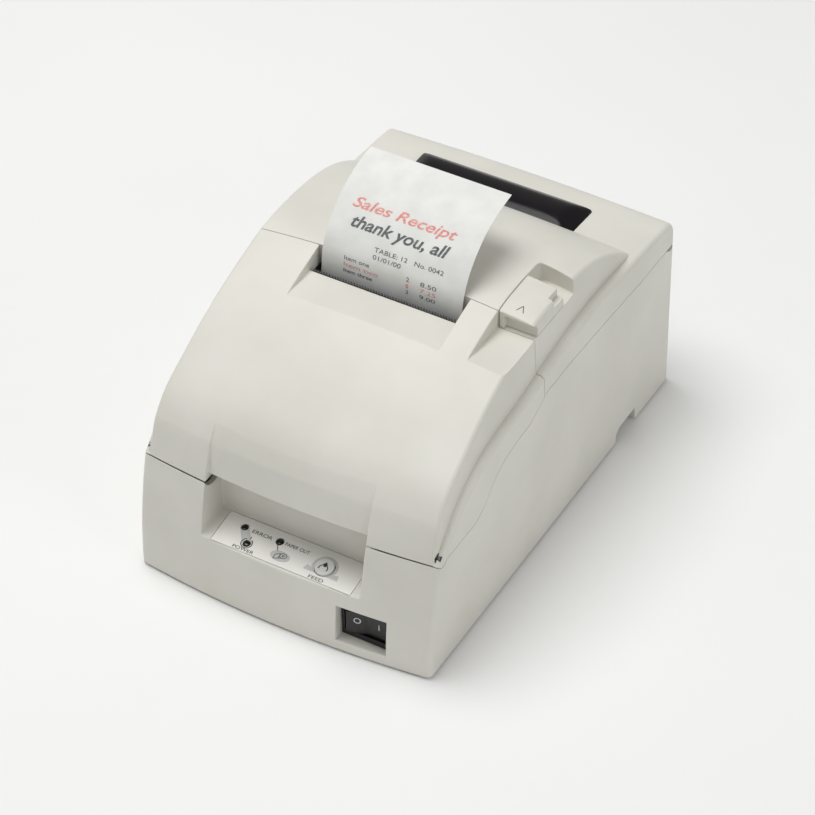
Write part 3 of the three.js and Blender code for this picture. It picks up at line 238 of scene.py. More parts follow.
def ringSolid(name, rings):
    # a skin of quads between neighbouring rings of points, with one face over each end;
    # where the volume under the quads comes out negative, every face is turned round
    rings = np.asarray(rings, float)
    count, around, _ = rings.shape
    index = np.arange(count * around).reshape(count, around)
    beside = np.roll(index, -1, axis=1)
    quads = np.stack([index[:-1], beside[:-1], beside[1:], index[1:]], axis=-1).reshape(-1, 4)
    points = rings.reshape(-1, 3)
    ends = [index[0][::-1], index[-1]]
    fans = np.array([[end[0], end[i], end[i + 1]] for end in ends for i in range(1, around - 1)])
    triangles = np.vstack([quads[:, [0, 1, 2]], quads[:, [0, 2, 3]], fans])
    a, b, c = (points[triangles[:, k]] for k in range(3))
    if np.einsum("ij,ij->", a, np.cross(b, c)) < 0:
        quads, ends = quads[:, ::-1], [end[::-1] for end in ends]
    return addMesh(name, points, quads.tolist() + [end.tolist() for end in ends])


def boxSolid(low, high):
    # the box between its lowest and highest corner
    (x0, y0, z0), (x1, y1, z1) = low, high
    ring = np.array([(y0, z0), (y1, z0), (y1, z1), (y0, z1)])
    return prismSolid(ring, x0, x1)


def prismSolid(outline, x0, x1):
    # a Y-Z outline carried from x0 to x1
    return ringSolid("prism", [atX(outline, x) for x in (x0, x1)])


def rodSolid(y, z, x0, x1, radius, count=32):
    # a circle in Y and Z carried from x0 to x1
    return prismSolid(circlePoints((y, z), radius, count), x0, x1)


def uprightRod(x, y, z0, z1, radius, count=32):
    # a circle in X and Y carried from z0 to z1
    circle = circlePoints((x, y), radius, count)
    return ringSolid("rod", [atHeight(circle, z) for z in (z0, z1)])


def combine(base, others, operation="DIFFERENCE"):
    # joins or cuts base with the others and throws the others away
    for other in others:
        modifier = base.modifiers.new("combine", "BOOLEAN")
        modifier.solver = "MANIFOLD"
        modifier.operation = operation
        modifier.object = other
        depsgraph = bpy.context.evaluated_depsgraph_get()
        mesh = bpy.data.meshes.new_from_object(base.evaluated_get(depsgraph), depsgraph=depsgraph)
        base.modifiers.clear()
        if not len(mesh.polygons):
            raise ValueError(f"{base.name}: {operation} with {other.name} left nothing")
        base.data = mesh
        bpy.data.objects.remove(other)
    return base


def copyOf(piece):
    # a twin with its own mesh, for a cut that has to leave the first whole
    return addObject(piece.name, piece.data.copy())


def finishPiece(piece, name, body, node, slotName, sharpAngle=32):
    # smooth shading up to a sharp angle, large faces leading the normals; the slot gives the material
    piece.name = piece.data.name = name
    piece.data.materials.clear()
    piece.data.materials.append(finishes[finishOfSlot[slotName]])
    piece.data.shade_smooth()
    piece.data.set_sharp_from_angle(angle=math.radians(sharpAngle))
    weighted = piece.modifiers.new("weighted", "WEIGHTED_NORMAL")
    weighted.keep_sharp = True
    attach(piece, body)
    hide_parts(node)


def frontEdgeY(z):
    # the corner line of the front leans back as the square of the height
    return cornerFrontY + z * z / (2 * case["leanRadius"])


def bowOf(x, y):
    # a parabola across the case that fades towards the back
    fade = 1 - smoothStep((y - (case["frontY"] + 24)) / 80)
    return case["frontBow"] * (1 - (x / case["halfWidth"]) ** 2) * fade


def crownOf(x, z, height, span, low, high):
    # a parabola across the case that grows with height
    return height * np.maximum(0, 1 - (x / span) ** 2) * smoothStep((z - low) / (high - low))


def bodyForm(x, y, z):
    # moved forward by the bow and up by the body's crown
    top = crownOf(x, z, case["bodyCrown"], case["halfWidth"], case["frontSeamZ"], rimTopZ)
    return np.stack([x, y - bowOf(x, y), z + top], axis=-1)


def domeForm(x, y, z):
    # crowned, and wider towards its foot by the flank's draft
    top = crownOf(x, z, case["domeCrown"], domeHalf, case["frontSeamZ"] + 6, domeEdgeZ)
    spread = x * (1 + case["flankDraft"] * (domeEdgeZ - z) / domeHalf)
    return np.stack([spread, y - bowOf(spread, y), z + top], axis=-1)


def frontWall(low, high, step):
    # points up the leaning front, about a step apart
    z = np.linspace(low, high, max(2, int((high - low) / step)))
    return np.column_stack([frontEdgeY(z), z])


def bodyOutline(step):
    # front wall, rim that rises to the rear, quarter-round back
    front, rearY = case["frontY"], case["rearY"]
    rim = splineThrough(
        [
            (frontEdgeY(case["frontSeamZ"]), case["frontSeamZ"]),
            (front + 24.2, rimTopZ - 35.2),
            (front + 39.2, rimTopZ - 22.5),
            (front + 64, rimTopZ - 12.5),
            (front + 98, rimTopZ - 8.2),
            (front + 134, rimTopZ - 2.3),
            (front + 174, rimTopZ),
            (rearY - case["rearRound"] - 3, rimTopZ - 4.2),
        ],
        int(250 / step),
    )
    angle = math.pi / 2 * np.linspace(1, 0, 9)
    centre = np.array([rearY - case["rearRound"], rimTopZ - 4.6 - case["rearRound"]])
    back = centre + case["rearRound"] * np.column_stack([np.cos(angle), np.sin(angle)])
    down = np.linspace(centre[1], case["bottomZ"], int(90 / step))[1:]
    wall = np.column_stack([np.full(len(down), rearY), down])
    front = frontWall(case["bottomZ"], case["frontSeamZ"], step)[:-1]
    floorY = np.linspace(rearY, front[0, 0], 20)[1:-1]
    floor = np.column_stack([floorY, np.full(len(floorY), case["bottomZ"])])
    return np.vstack([front, eased(rim, 2), back, wall, floor])


def domeTop(count):
    # the dome's edge line: up the front, over the crest and down to the hood
    front, top = case["frontY"], domeEdgeZ
    line = splineThrough(
        [
            (frontEdgeY(84), 84),
            (front + 29, top - 38.6),
            (front + 46, top - 28.3),
            (front + 64.5, top - 18.3),
            (front + 84.4, top - 10),
            (front + 115.1, top - 1.1),
            (front + 130, top),
            (front + 144, top - 0.2),
            (front + 162.8, top - 2.4),
            (front + 178.7, top - 7.1),
            (front + 190.6, top - 13),
            (front + 200.5, top - 19.4),
            (front + 209, rimTopZ - 2),
        ],
        count,
    )
    return eased(line, 3)


def domeOutline(step):
    # the leaning wall, the dome's edge line, and a level floor hidden in the body
    wall = frontWall(case["frontSeamZ"] + 0.6, 84, step)[:-1]
    foot = case["frontY"] + 209
    floorY = np.linspace(foot, frontEdgeY(case["frontSeamZ"]) + 8, 16)
    floor = np.column_stack([floorY, np.full(len(floorY), 58.0)])
    return np.vstack([wall, domeTop(int(250 / step)), floor])


def crossSolid(name, outline, half, rounding, form, step):
    # an outline carried across the case; near each side it sinks on a quarter circle; form bends the rest
    flat = half - rounding
    inner = np.linspace(-flat, flat, max(6, int(2 * flat / (step * 1.6))))
    edge = flat + rounding * np.sin(np.linspace(0, math.pi / 2, 7))[1:]
    x = np.concatenate([-edge[::-1], inner, edge])[:, None]
    past = np.maximum(0, np.abs(x) - flat)
    sink = rounding - np.sqrt(np.maximum(0, rounding**2 - past**2))
    inward = insetOutline(outline, 1) - outline
    lowest = outline[:, 1] < case["bottomZ"] + 1
    inward = np.where(lowest[:, None], np.column_stack([np.sign(inward[:, 0]), 0 * inward[:, 0]]), inward)
    y = outline[None, :, 0] + inward[None, :, 0] * sink
    z = outline[None, :, 1] + inward[None, :, 1] * sink
    return ringSolid(name, form(x + 0 * y, y, z))


def skinTopZ(x, y):
    # height of the dome over a place; the bow is undone by repeated substitution
    line = domeTop(160)
    along = y + 0 * x
    for _ in range(5):
        along = y + bowOf(x, along)
    edge = np.interp(along, line[:, 0], line[:, 1])
    return edge + crownOf(x, edge, case["domeCrown"], domeHalf, case["frontSeamZ"] + 6, domeEdgeZ)


def skinFrontY(x, z):
    # how far forward the front stands at a height: the leaning wall, then the dome's own line;
    # the crown is undone by repeated substitution
    rising = domeTop(160)[:60]
    low = z + 0 * x
    for _ in range(6):
        low = z - crownOf(x, low, case["domeCrown"], domeHalf, case["frontSeamZ"] + 6, domeEdgeZ)
    edge = np.where(low < 84, frontEdgeY(low), np.interp(low, rising[:, 1], rising[:, 0]))
    return edge - bowOf(x, edge)


def sunkTool(name, loop, skin, floor, place, soft, fillet, above, floorRings=2):
    # a cutter for a hollow: floor, quarter-round fillet, wall, then a quarter-round flare at the skin;
    # where the hollow is shallow, fillet and flare shrink with its depth; a bent floor takes more rings
    outward = outwardOf(loop)
    depth = skin(loop[:, 0], loop[:, 1]) - floor(loop[:, 0], loop[:, 1])
    share = np.clip(depth / (soft + fillet), 0.02, 1)
    rings = []
    rim = loop - outward * (fillet * share)[:, None]
    for size in np.linspace(0.02, 1, floorRings + 1)[:-1]:
        inner = rim.mean(axis=0) + (rim - rim.mean(axis=0)) * size
        base = np.minimum(floor(inner[:, 0], inner[:, 1]), skin(inner[:, 0], inner[:, 1]) - 0.02)
        rings.append(place(inner[:, 0], inner[:, 1], base))
    for angle in np.linspace(0, math.pi / 2, 6):
        moved = loop - outward * (fillet * share * (1 - math.sin(angle)))[:, None]
        base = np.minimum(floor(moved[:, 0], moved[:, 1]), skin(moved[:, 0], moved[:, 1]) - 0.02)
        rings.append(place(moved[:, 0], moved[:, 1], base + fillet * share * (1 - math.cos(angle))))
    for angle in np.linspace(0, math.radians(78), 6):
        moved = loop + outward * (soft * share * (1 - math.cos(angle)))[:, None]
        height = skin(moved[:, 0], moved[:, 1]) - soft * share * (1 - math.sin(angle))
        rings.append(place(moved[:, 0], moved[:, 1], height))
    rings.append(place(moved[:, 0], moved[:, 1], skin(moved[:, 0], moved[:, 1]) + above))
    return ringSolid(name, rings)


def level(height):
    # one height everywhere
    return lambda a, b: height + 0 * a


def frontDepth(x, z):
    # the front surface, counted towards the viewer
    return -skinFrontY(x, z)


def onTop(a, b, c):
    # a is X, b is Y and c is Z
    return np.column_stack([a, b, c])


def onFront(a, b, c):
    # a is X, b is Z, and c counts towards the viewer
    return np.column_stack([a, -c, b])


def onRear(a, b, c):
    # a is X, b is Z, and c counts towards the rear
    return np.column_stack([a, c, b])


recessFrontY = frontEdgeY(panel["lipZ"]) - case["frontBow"]
recessBackY = recessFrontY + panel["depth"]
recessSlope = math.atan2(panel["backRise"], panel["depth"])
recessTopZ = case["frontSeamZ"] + panel["bandRise"]
leverFloorZ = domeEdgeZ - lever["height"] + 1.6
pocketRearY = case["coverSeamY"] + lever["pocketLength"]
rampStartY = case["coverSeamY"] - lever["rampLength"]
mouthStartY = mouth["frontY"] - mouth["rampLength"]
bayFrontY = case["rearY"] - rear["bayDepth"]


def recessTool():
    # its floor climbs towards the back, so the lower edge of each ring rises with its depth
    half, lip, top = panel["halfWidth"], panel["lipZ"], recessTopZ

    def place(a, b, c):
        lift = np.tan(recessSlope) * (-c - recessFrontY) * np.clip((top - b) / (top - lip), 0, 1)
        return np.column_stack([a, -c, b + lift])

    loop = roundedLoop((-half, lip), (half, top), [0.4, 0.4, 1.2, 1.2])
    return sunkTool("recess", loop, frontDepth, level(-recessBackY), place, 0.8, 1.2, 12)


def bandSetBack(z, power):
    # grows from nothing at the band's apex, as a power of the way down to the cover's edge
    apex = panel["bandApexZ"]
    return panel["bandSetBack"] * np.clip((apex - z) / (apex - case["frontSeamZ"]), 0, 1) ** power


def bandTool():
    # the front surface moved back by the band's set-back
    low, high = (-panel["halfWidth"], case["frontSeamZ"] - 2), (panel["halfWidth"], panel["bandApexZ"])

    def floor(x, z):
        return -skinFrontY(x, z) - bandSetBack(z, panel["bandPower"])

    return sunkTool("band", roundedLoop(low, high, [0.3] * 4), frontDepth, floor, onFront, 0.8, 0.5, 6, 18)


def mouthTool():
    # the ramp leaves the dome's own surface at its front edge and is level across at the tear bar
    def floor(x, y):
        along = np.clip((y - mouthStartY) / mouth["rampLength"], 0, 1)
        return (1 - along) * (skinTopZ(x, mouthStartY + 0 * y) - 0.02) + along * mouth["rampBackZ"]

    low, high = (-mouth["halfWidth"], mouthStartY), (mouth["halfWidth"], case["coverSeamY"] + 8)
    loop = roundedLoop(low, high, [0.5] * 4)
    return sunkTool("mouth", loop, skinTopZ, floor, onTop, 0.6, 0.4, 8, 24)


def leverTool():
    # a ramp from the dome's surface down to the lever's floor, then the level pocket; open past the flank;
    # the pocket's rear edge is bowed by the square of the distance from its inner corner
    def skin(x, y):
        return skinTopZ(np.minimum(x, domeHalf - 2), y)

    def fall(x, y):
        along = np.clip((y - rampStartY) / lever["rampLength"], 0, 1)
        return (1 - along) * (skin(x, rampStartY + 0 * y) - 0.02) + along * leverFloorZ

    low, high = (lever["innerX"], rampStartY), (case["halfWidth"] + 6, pocketRearY)
    loop = roundedLoop(low, high, [0.5, 2.2, 0.5, 0.5], 1.5)
    edge = (loop[:, 1] > pocketRearY - 0.01) & (loop[:, 0] > lever["innerX"] + 2)
    loop[:, 1] -= np.where(edge, lever["edgeBow"] * ((loop[:, 0] - lever["innerX"] - 2) / 22) ** 2, 0)
    return sunkTool("pocket", loop, skin, fall, onTop, 0.7, 0.6, 12, 24)


def switchTool():
    # an upright rectangle sunk to the switch's face
    middle, half = np.array([switch["x"], switch["z"]]), np.array([switch["width"], switch["height"]]) / 2
    loop = roundedLoop(middle - half, middle + half, [0.5] * 4)
    return sunkTool("switch", loop, frontDepth, level(-switch["faceY"]), onFront, 0.7, 0.3, 6)


def channelTools():
    # a slot through both flanks whose mouth flares, and a box that joins it to the connector bay
    low, high = (rear["channelFrontY"], -6), (rear["channelRearY"], rear["channelHeight"])
    loop = roundedLoop(low, high, [0.6, 5.0, 0.3, 0.3])
    outward = outwardOf(loop)
    soft, half = case["softEdge"], case["halfWidth"]
    angles = np.linspace(math.radians(78), 0, 5)
    stations = [(half + 5, soft * (1 - math.cos(angles[0])))]
    stations += [(half - soft * (1 - math.sin(t)), soft * (1 - math.cos(t))) for t in angles]
    stations = [(-x, grow) for x, grow in stations] + stations[::-1]
    rings = [atX(loop + outward * grow, x) for x, grow in stations]
    back = boxSolid(
        (-rear["bayHalf"], rear["channelRearY"] - 5, -6),
        (rear["bayHalf"], bayFrontY + 1, rear["channelHeight"]),
    )
    bayLoop = roundedLoop((-rear["bayHalf"], -6), (rear["bayHalf"], rear["bayHeight"]), [1.5, 1.5, 0.3, 0.3])
    bay = sunkTool("bay", bayLoop, level(case["rearY"]), level(bayFrontY), onRear, 0.7, 0.3, 6)
    return [ringSolid("channel", rings), back, bay]


def grownTools():
    # plain versions of the same hollows, larger by the wall: they stay solid inside the case
    w = case["wall"]
    back, top = recessBackY + w, recessTopZ
    ahead = recessFrontY - 12
    low, high = (panel["lipZ"] + (y - recessFrontY) * math.tan(recessSlope) - w for y in (ahead, back))
    recess = [(ahead, low), (back, high), (back, top), (ahead, top)]
    bandZ = np.linspace(case["frontSeamZ"] - 3, panel["bandApexZ"], 12)
    bandRings = []
    for x in np.linspace(-panel["halfWidth"] - w, panel["halfWidth"] + w, 9):
        line = np.column_stack([skinFrontY(np.full(12, x), bandZ) + bandSetBack(bandZ, 1) + w, bandZ])
        hull = np.vstack([line, [(line[-1, 0] - 12, bandZ[-1]), (line[0, 0] - 30, bandZ[0])]])
        bandRings.append(atX(hull, x))
    seamY = case["coverSeamY"]
    mouthLine = [
        (mouthStartY - w, mouth["rampBackZ"] - mouth["rampFrontDrop"] - w),
        (seamY + w, mouth["rampBackZ"] - w),
        (seamY + w, case["crestZ"] + 10),
        (mouthStartY - w - 6, case["crestZ"] + 10),
    ]
    leverLine = [
        (rampStartY - w, leverFloorZ - w - 1),
        (seamY, leverFloorZ - w),
        (pocketRearY + w, leverFloorZ - w),
        (pocketRearY + w, case["crestZ"] + 10),
        (rampStartY - w - 8, case["crestZ"] + 10),
    ]
    halfX, halfZ = switch["width"] / 2 + w, switch["height"] / 2 + w
    return [
        prismSolid(np.array(recess), -panel["halfWidth"] - w, panel["halfWidth"] + w),
        ringSolid("bandRoom", bandRings),
        prismSolid(np.array(mouthLine), -mouth["halfWidth"] - w, mouth["halfWidth"] + w),
        prismSolid(np.array(leverLine), lever["innerX"] - w, case["halfWidth"] + 5),
        boxSolid(
            (-rear["bayHalf"] - w, bayFrontY - w, -6),
            (rear["bayHalf"] + w, case["rearY"] + 5, rear["bayHeight"] + w),
        ),
        boxSolid(
            (-case["halfWidth"] - 5, rear["channelFrontY"] - w, -6),
            (case["halfWidth"] + 5, rear["channelRearY"] + w, rear["channelHeight"] + w),
        ),
        boxSolid(
            (-rear["bayHalf"] - w, rear["channelRearY"] - 5, -7),
            (rear["bayHalf"] + w, bayFrontY + 1, rear["channelHeight"] + w + 0.01),
        ),
        boxSolid(
            (switch["x"] - halfX, case["frontY"] - 5, switch["z"] - halfZ),
            (switch["x"] + halfX, switch["faceY"] + w, switch["z"] + halfZ),
        ),
    ]


def seamLine(shift):
    # level at the front, up an S-curve beside the dome, then almost level to the rear
    low, high = case["frontSeamZ"] + shift, case["rearSeamZ"] + shift
    front, seamY = case["frontY"], case["coverSeamY"]
    rise = splineThrough(
        [
            (front + 48, low),
            (front + 57, low + 4.5),
            (front + 66, low + 12.6),
            (front + 76, low + 17.4),
            (front + 87, low + 19.4),
            (front + 100, low + 20.4),
        ],
        36,
    )
    after = [
        (seamY - 0.5, high + 1.5),
        (seamY + 3, high + 3.4),
        (seamY + 26, high + 3.8),
        (seamY + 60, high + 2.4),
        (seamY + 98, high + 0.2),
        (case["rearY"] + 20, high),
    ]
    return np.vstack([[(front - 20, low)], rise, after])


def slab(shift, farZ):
    # everything below or above the seam
    ends = [(case["rearY"] + 20, farZ), (case["frontY"] - 20, farZ)]
    return prismSolid(np.vstack([seamLine(shift), ends]), -case["halfWidth"] - 10, case["halfWidth"] + 10)


def hingeBarrel(x0, x1, extra):
    # a solid of turning about the hinge line whose radius follows the bow of the cover's lower edge
    lowZ = case["frontSeamZ"] + gap
    rings = []
    for x in np.linspace(x0, x1, 25):
        edgeY = frontEdgeY(lowZ) - bowOf(x, case["frontY"])
        reach = math.hypot(edgeY - hinge["frontY"], lowZ - hinge["frontZ"]) + extra
        circle = circlePoints((hinge["frontY"], hinge["frontZ"]), reach, 64)
        rings.append(atX(circle, x))
    return ringSolid("barrel", rings)


def span(side, near, away):
    # two distances from the middle as ascending X on one side
    return (near, away) if side > 0 else (-away, -near)


def outerForm():
    # the body and the dome joined, without any hollow
    step = case["gridStep"]
    body = crossSolid("body", bodyOutline(step), case["halfWidth"], case["edgeRound"], bodyForm, step)
    dome = crossSolid("dome", domeOutline(step), domeHalf, case["domeRound"], domeForm, step)
    return combine(body, [dome], "UNION")


def innerForm():
    # the same two outlines set in by the wall, and open below: the room inside the case
    step, w = 6.0, case["wall"]
    outline = insetOutline(bodyOutline(step), w)
    openBelow = outline[:, 1] < case["bottomZ"] + w + 1
    outline[:, 1] = np.where(openBelow, case["bottomZ"] - 5, outline[:, 1])
    body = crossSolid("room", outline, case["halfWidth"] - w, case["edgeRound"], bodyForm, step)
    domeInset = insetOutline(domeOutline(step), w)
    dome = crossSolid("domeRoom", domeInset, domeHalf - w, case["domeRound"], domeForm, step)
    return combine(body, [dome], "UNION")


def linearColour(hexText):
    # sRGB hex to linear light
    channels = np.array([int(hexText[i : i + 2], 16) for i in (1, 3, 5)]) / 255
    linear = np.where(channels <= 0.04045, channels / 12.92, ((channels + 0.055) / 1.055) ** 2.4)
    return (*linear.tolist(), 1.0)


def addNode(material, kind, settings=None, links=None):
    # one node with its settings by name and its inputs linked from other nodes' outputs
    tree = material.node_tree
    node = tree.nodes.new(kind)
    for name, value in (settings or {}).items():
        if name in node.inputs:
            node.inputs[name].default_value = value
        else:
            setattr(node, name, value)
    for name, (source, output) in (links or {}).items():
        tree.links.new(source.outputs[output], node.inputs[name])
    return node


def surface(name, colour, roughness, settings=None):
    # a material with only its Principled shader, coordinates and output
    material = bpy.data.materials.new(name)
    material.use_nodes = True
    material.node_tree.nodes.clear()
    values = {"Base Color": linearColour(colour), "Roughness": roughness, **(settings or {})}
    shader = addNode(material, "ShaderNodeBsdfPrincipled", values)
    addNode(material, "ShaderNodeOutputMaterial", links={"Surface": (shader, "BSDF")})
    coordinates = addNode(material, "ShaderNodeTexCoord")
    material.diffuse_color = linearColour(colour)
    return material, shader, coordinates


def perMetre(sizeMm):
    # a noise cell of this many millimetres, as a scale on Object coordinates
    return 1000.0 / sizeMm


def tintBy(material, shader, factor, output, dark, light):
    # the colour runs between two near shades by a factor from 0 to 1
    ramp = addNode(material, "ShaderNodeValToRGB", links={"Fac": (factor, output)})
    ramp.color_ramp.elements[0].position, ramp.color_ramp.elements[1].position = 0.35, 0.65
    ramp.color_ramp.elements[0].color = linearColour(dark)
    ramp.color_ramp.elements[1].color = linearColour(light)
    material.node_tree.links.new(ramp.outputs["Color"], shader.inputs["Base Color"])


def roughen(material, shader, factor, strength, depthMm, low, high):
    # a factor from 0 to 1 raises the surface by up to depthMm and runs the roughness from low to high
    height = {"Height": (factor, "Fac")}
    bump = addNode(material, "ShaderNodeBump", {"Strength": strength, "Distance": depthMm * mm}, height)
    gloss = addNode(material, "ShaderNodeMapRange", {"To Min": low, "To Max": high}, {"Value": (factor, "Fac")})
    material.node_tree.links.new(bump.outputs["Normal"], shader.inputs["Normal"])
    material.node_tree.links.new(gloss.outputs["Result"], shader.inputs["Roughness"])


def grained(name, dark, light, roughness, grainMm, depthMm, cloudMm=45.0, settings=None):
    # a moulded or cast skin: slow clouds of colour, and a fine grain as bump and as roughness
    material, shader, at = surface(name, light, roughness, settings)
    noise, place = "ShaderNodeTexNoise", {"Vector": (at, "Object")}
    clouds = addNode(material, noise, {"Scale": perMetre(cloudMm), "Detail": 3.0}, place)
    tintBy(material, shader, clouds, "Fac", dark, light)
    grain = addNode(material, noise, {"Scale": perMetre(grainMm), "Detail": 2.0}, place)
    roughen(material, shader, grain, 0.5, depthMm, roughness - 0.05, roughness + 0.07)
    return material


def brushedMetal(name, dark, light, roughness, streakMm, along, depthMm=0.012):
    # metal drawn or ground along one axis: streaks forty times longer than wide
    material, shader, at = surface(name, light, roughness, {"Metallic": 1.0})
    scale = [perMetre(streakMm)] * 3
    scale["XYZ".index(along)] /= 40
    mapping = addNode(material, "ShaderNodeMapping", {"Scale": tuple(scale)}, {"Vector": (at, "Object")})
    vector = {"Vector": (mapping, "Vector")}
    streaks = addNode(material, "ShaderNodeTexNoise", {"Scale": 1.0, "Detail": 2.0}, vector)
    tintBy(material, shader, streaks, "Fac", dark, light)
    roughen(material, shader, streaks, 0.4, depthMm, roughness - 0.08, roughness + 0.1)
    return material


print("finishes")
finishes = {
    # ABS moulded in a spark-eroded tool: warm white, satin, with a grain the eye reads as softness
    "mouldedAbs": grained("mouldedAbs", "#D7D5CB", "#DEDCD3", 0.46, 0.9, 0.02),
    # polycarbonate film with a satin print: a shade cooler and smoother than the case
    "satinFilm": grained("satinFilm", "#ECEAE3", "#F1EFE9", 0.36, 0.5, 0.008),
    # clear lenses over unlit diodes: near black with a sharp highlight
    "darkLens": grained("darkLens", "#0B0B0C", "#121214", 0.16, 3.0, 0.004, 4.0),
    # silicone rubber of the button cap: pale grey, matt
    "buttonCap": grained("buttonCap", "#D3D3CF", "#DBDBD7", 0.55, 0.4, 0.01),
    # black nylon of the switch: fine grain, soft highlight
    "switchNylon": grained("switchNylon", "#100E11", "#161317", 0.38, 0.5, 0.015, 8.0),
    # smoked acrylic: near black with a violet cast and a clean gloss
    "smokedAcrylic": grained(
        "smokedAcrylic", "#0E0B0E", "#141013", 0.22, 2.5, 0.003, 25.0, {"Specular IOR Level": 0.2}
    ),
    # steel strip ground along its length
    "groundSteel": brushedMetal("groundSteel", "#6F7073", "#8E9093", 0.34, 0.35, "X"),
    # zinc-plated sheet: pale, slightly blue, with cloudy plating
    "zincPlate": grained("zincPlate", "#9DA2A6", "#B9BDC0", 0.36, 1.6, 0.012, 9.0, {"Metallic": 1.0}),
    # receipt paper: uncoated, faint fibre flecks
    "bondPaper": grained("bondPaper", "#DFDFDB", "#E8E8E4", 0.82, 0.45, 0.02, 12.0),
    # pressed card of the roll's core
    "coreCard": grained("coreCard", "#8C8880", "#A09C93", 0.8, 0.7, 0.05, 6.0),
    # fibreglass board under green solder mask
    "solderMask": grained("solderMask", "#1D5A38", "#27693F", 0.32, 1.1, 0.02, 7.0),
    # black ABS of the mechanism's mouldings
    "blackAbs": grained("blackAbs", "#1D1D1F", "#28282A", 0.42, 0.7, 0.02, 14.0),
    # nylon ribbon soaked in ink: dull purple-black
    "inkedNylon": grained("inkedNylon", "#2A1A2C", "#3A2236", 0.7, 0.35, 0.04, 5.0),
    # nitrile rubber: matt charcoal
    "nitrileRubber": grained("nitrileRubber", "#202021", "#2C2C2D", 0.78, 0.5, 0.03, 6.0),
    # drawn steel cans of the motors, painted grey
    "drawnCan": brushedMetal("drawnCan", "#85888C", "#A3A6AA", 0.4, 0.5, "Z"),
    # natural nylon of gears and knobs: milky, waxy
    "naturalNylon": grained("naturalNylon", "#DDD8C8", "#E8E4D6", 0.42, 0.8, 0.015, 9.0),
    # printing inks: flat, matt, broken up a little like ribbon print
    "greyInk": grained("greyInk", "#56565A", "#646468", 0.7, 0.4, 0.004, 0.7),
    "paleInk": grained("paleInk", "#C3C4C1", "#CBCCC9", 0.6, 0.4, 0.004, 3.0),
    "blackInk": grained("blackInk", "#26262A", "#343438", 0.65, 0.4, 0.004, 1.2),
    "whiteInk": grained("whiteInk", "#C9CACC", "#D6D7D8", 0.6, 0.4, 0.004, 3.0),
    "blackRibbonInk": grained("blackRibbonInk", "#4C5152", "#7C8180", 0.8, 0.4, 0.004, 0.9),
    "redRibbonInk": grained("redRibbonInk", "#DC8078", "#EDB0A8", 0.8, 0.4, 0.004, 0.9),
}
finishOfSlot = {
    "case_abs": "mouldedAbs",
    "panel_film": "satinFilm",
    "led_lens": "darkLens",
    "button_grey": "buttonCap",
    "switch_black": "switchNylon",
    "smoked_window": "smokedAcrylic",
    "steel": "groundSteel",
    "zinc_plate": "zincPlate",
    "paper": "bondPaper",
    "core_card": "coreCard",
    "circuit_board": "solderMask",
    "dark_plastic": "blackAbs",
    "ink_ribbon": "inkedNylon",
    "rubber": "nitrileRubber",
    "motor_steel": "drawnCan",
    "nylon": "naturalNylon",
}
slotOfNode = {part["node"]: part["material_slot"] for part in frame["record"]["subparts"]}
for nodeName, node in frame["nodes"].items():
    finish = finishes[finishOfSlot[slotOfNode[nodeName]]]
    for materialSlot in node.material_slots:
        materialSlot.material = finish


earInnerX = innerX - case["clearance"] - case["wall"]
earOuterX = innerX - case["clearance"]
ears = {"front": 2.1, "rear": 2.6, "reach": 12.0}
boss = {"x": 74.0, "ys": (-60.0, 40.0), "radius": 3.6, "bottomZ": 4.1, "topZ": 16.0, "bore": 1.8}
leds = {"led_error": (-26.8, 14.5), "led_power": (-21.2, 6.8), "led_paper_out": (-7.4, 14.4)}
feed = {"x": 19.5, "y": 10.2, "radius": 4.8, "top": 1.3, "dish": 0.22, "stemEnd": -2.7}
ledRadius = 1.8


def onPanel(points):
    # turns points about X by the floor's slope and moves them to its front edge
    x, y, z = np.moveaxis(np.asarray(points, float), -1, 0)
    c, s = math.cos(recessSlope), math.sin(recessSlope)
    return np.stack([x, recessFrontY + y * c - z * s, panel["lipZ"] + y * s + z * c], axis=-1)


def panelRod(x, y, z0, z1, radius, count=40):
    # a round rod square to the panel
    circle = circlePoints((x, y), radius, count)
    return ringSolid("rod", onPanel([atHeight(circle, z) for z in (z0, z1)]))


def panelBlock(low, high, corner=0.8):
    # a block with rounded corners square to the panel
    loop = roundedLoop(low[:2], high[:2], [corner] * 4, 6)
    return ringSolid("block", onPanel([atHeight(loop, z) for z in (low[2], high[2])]))


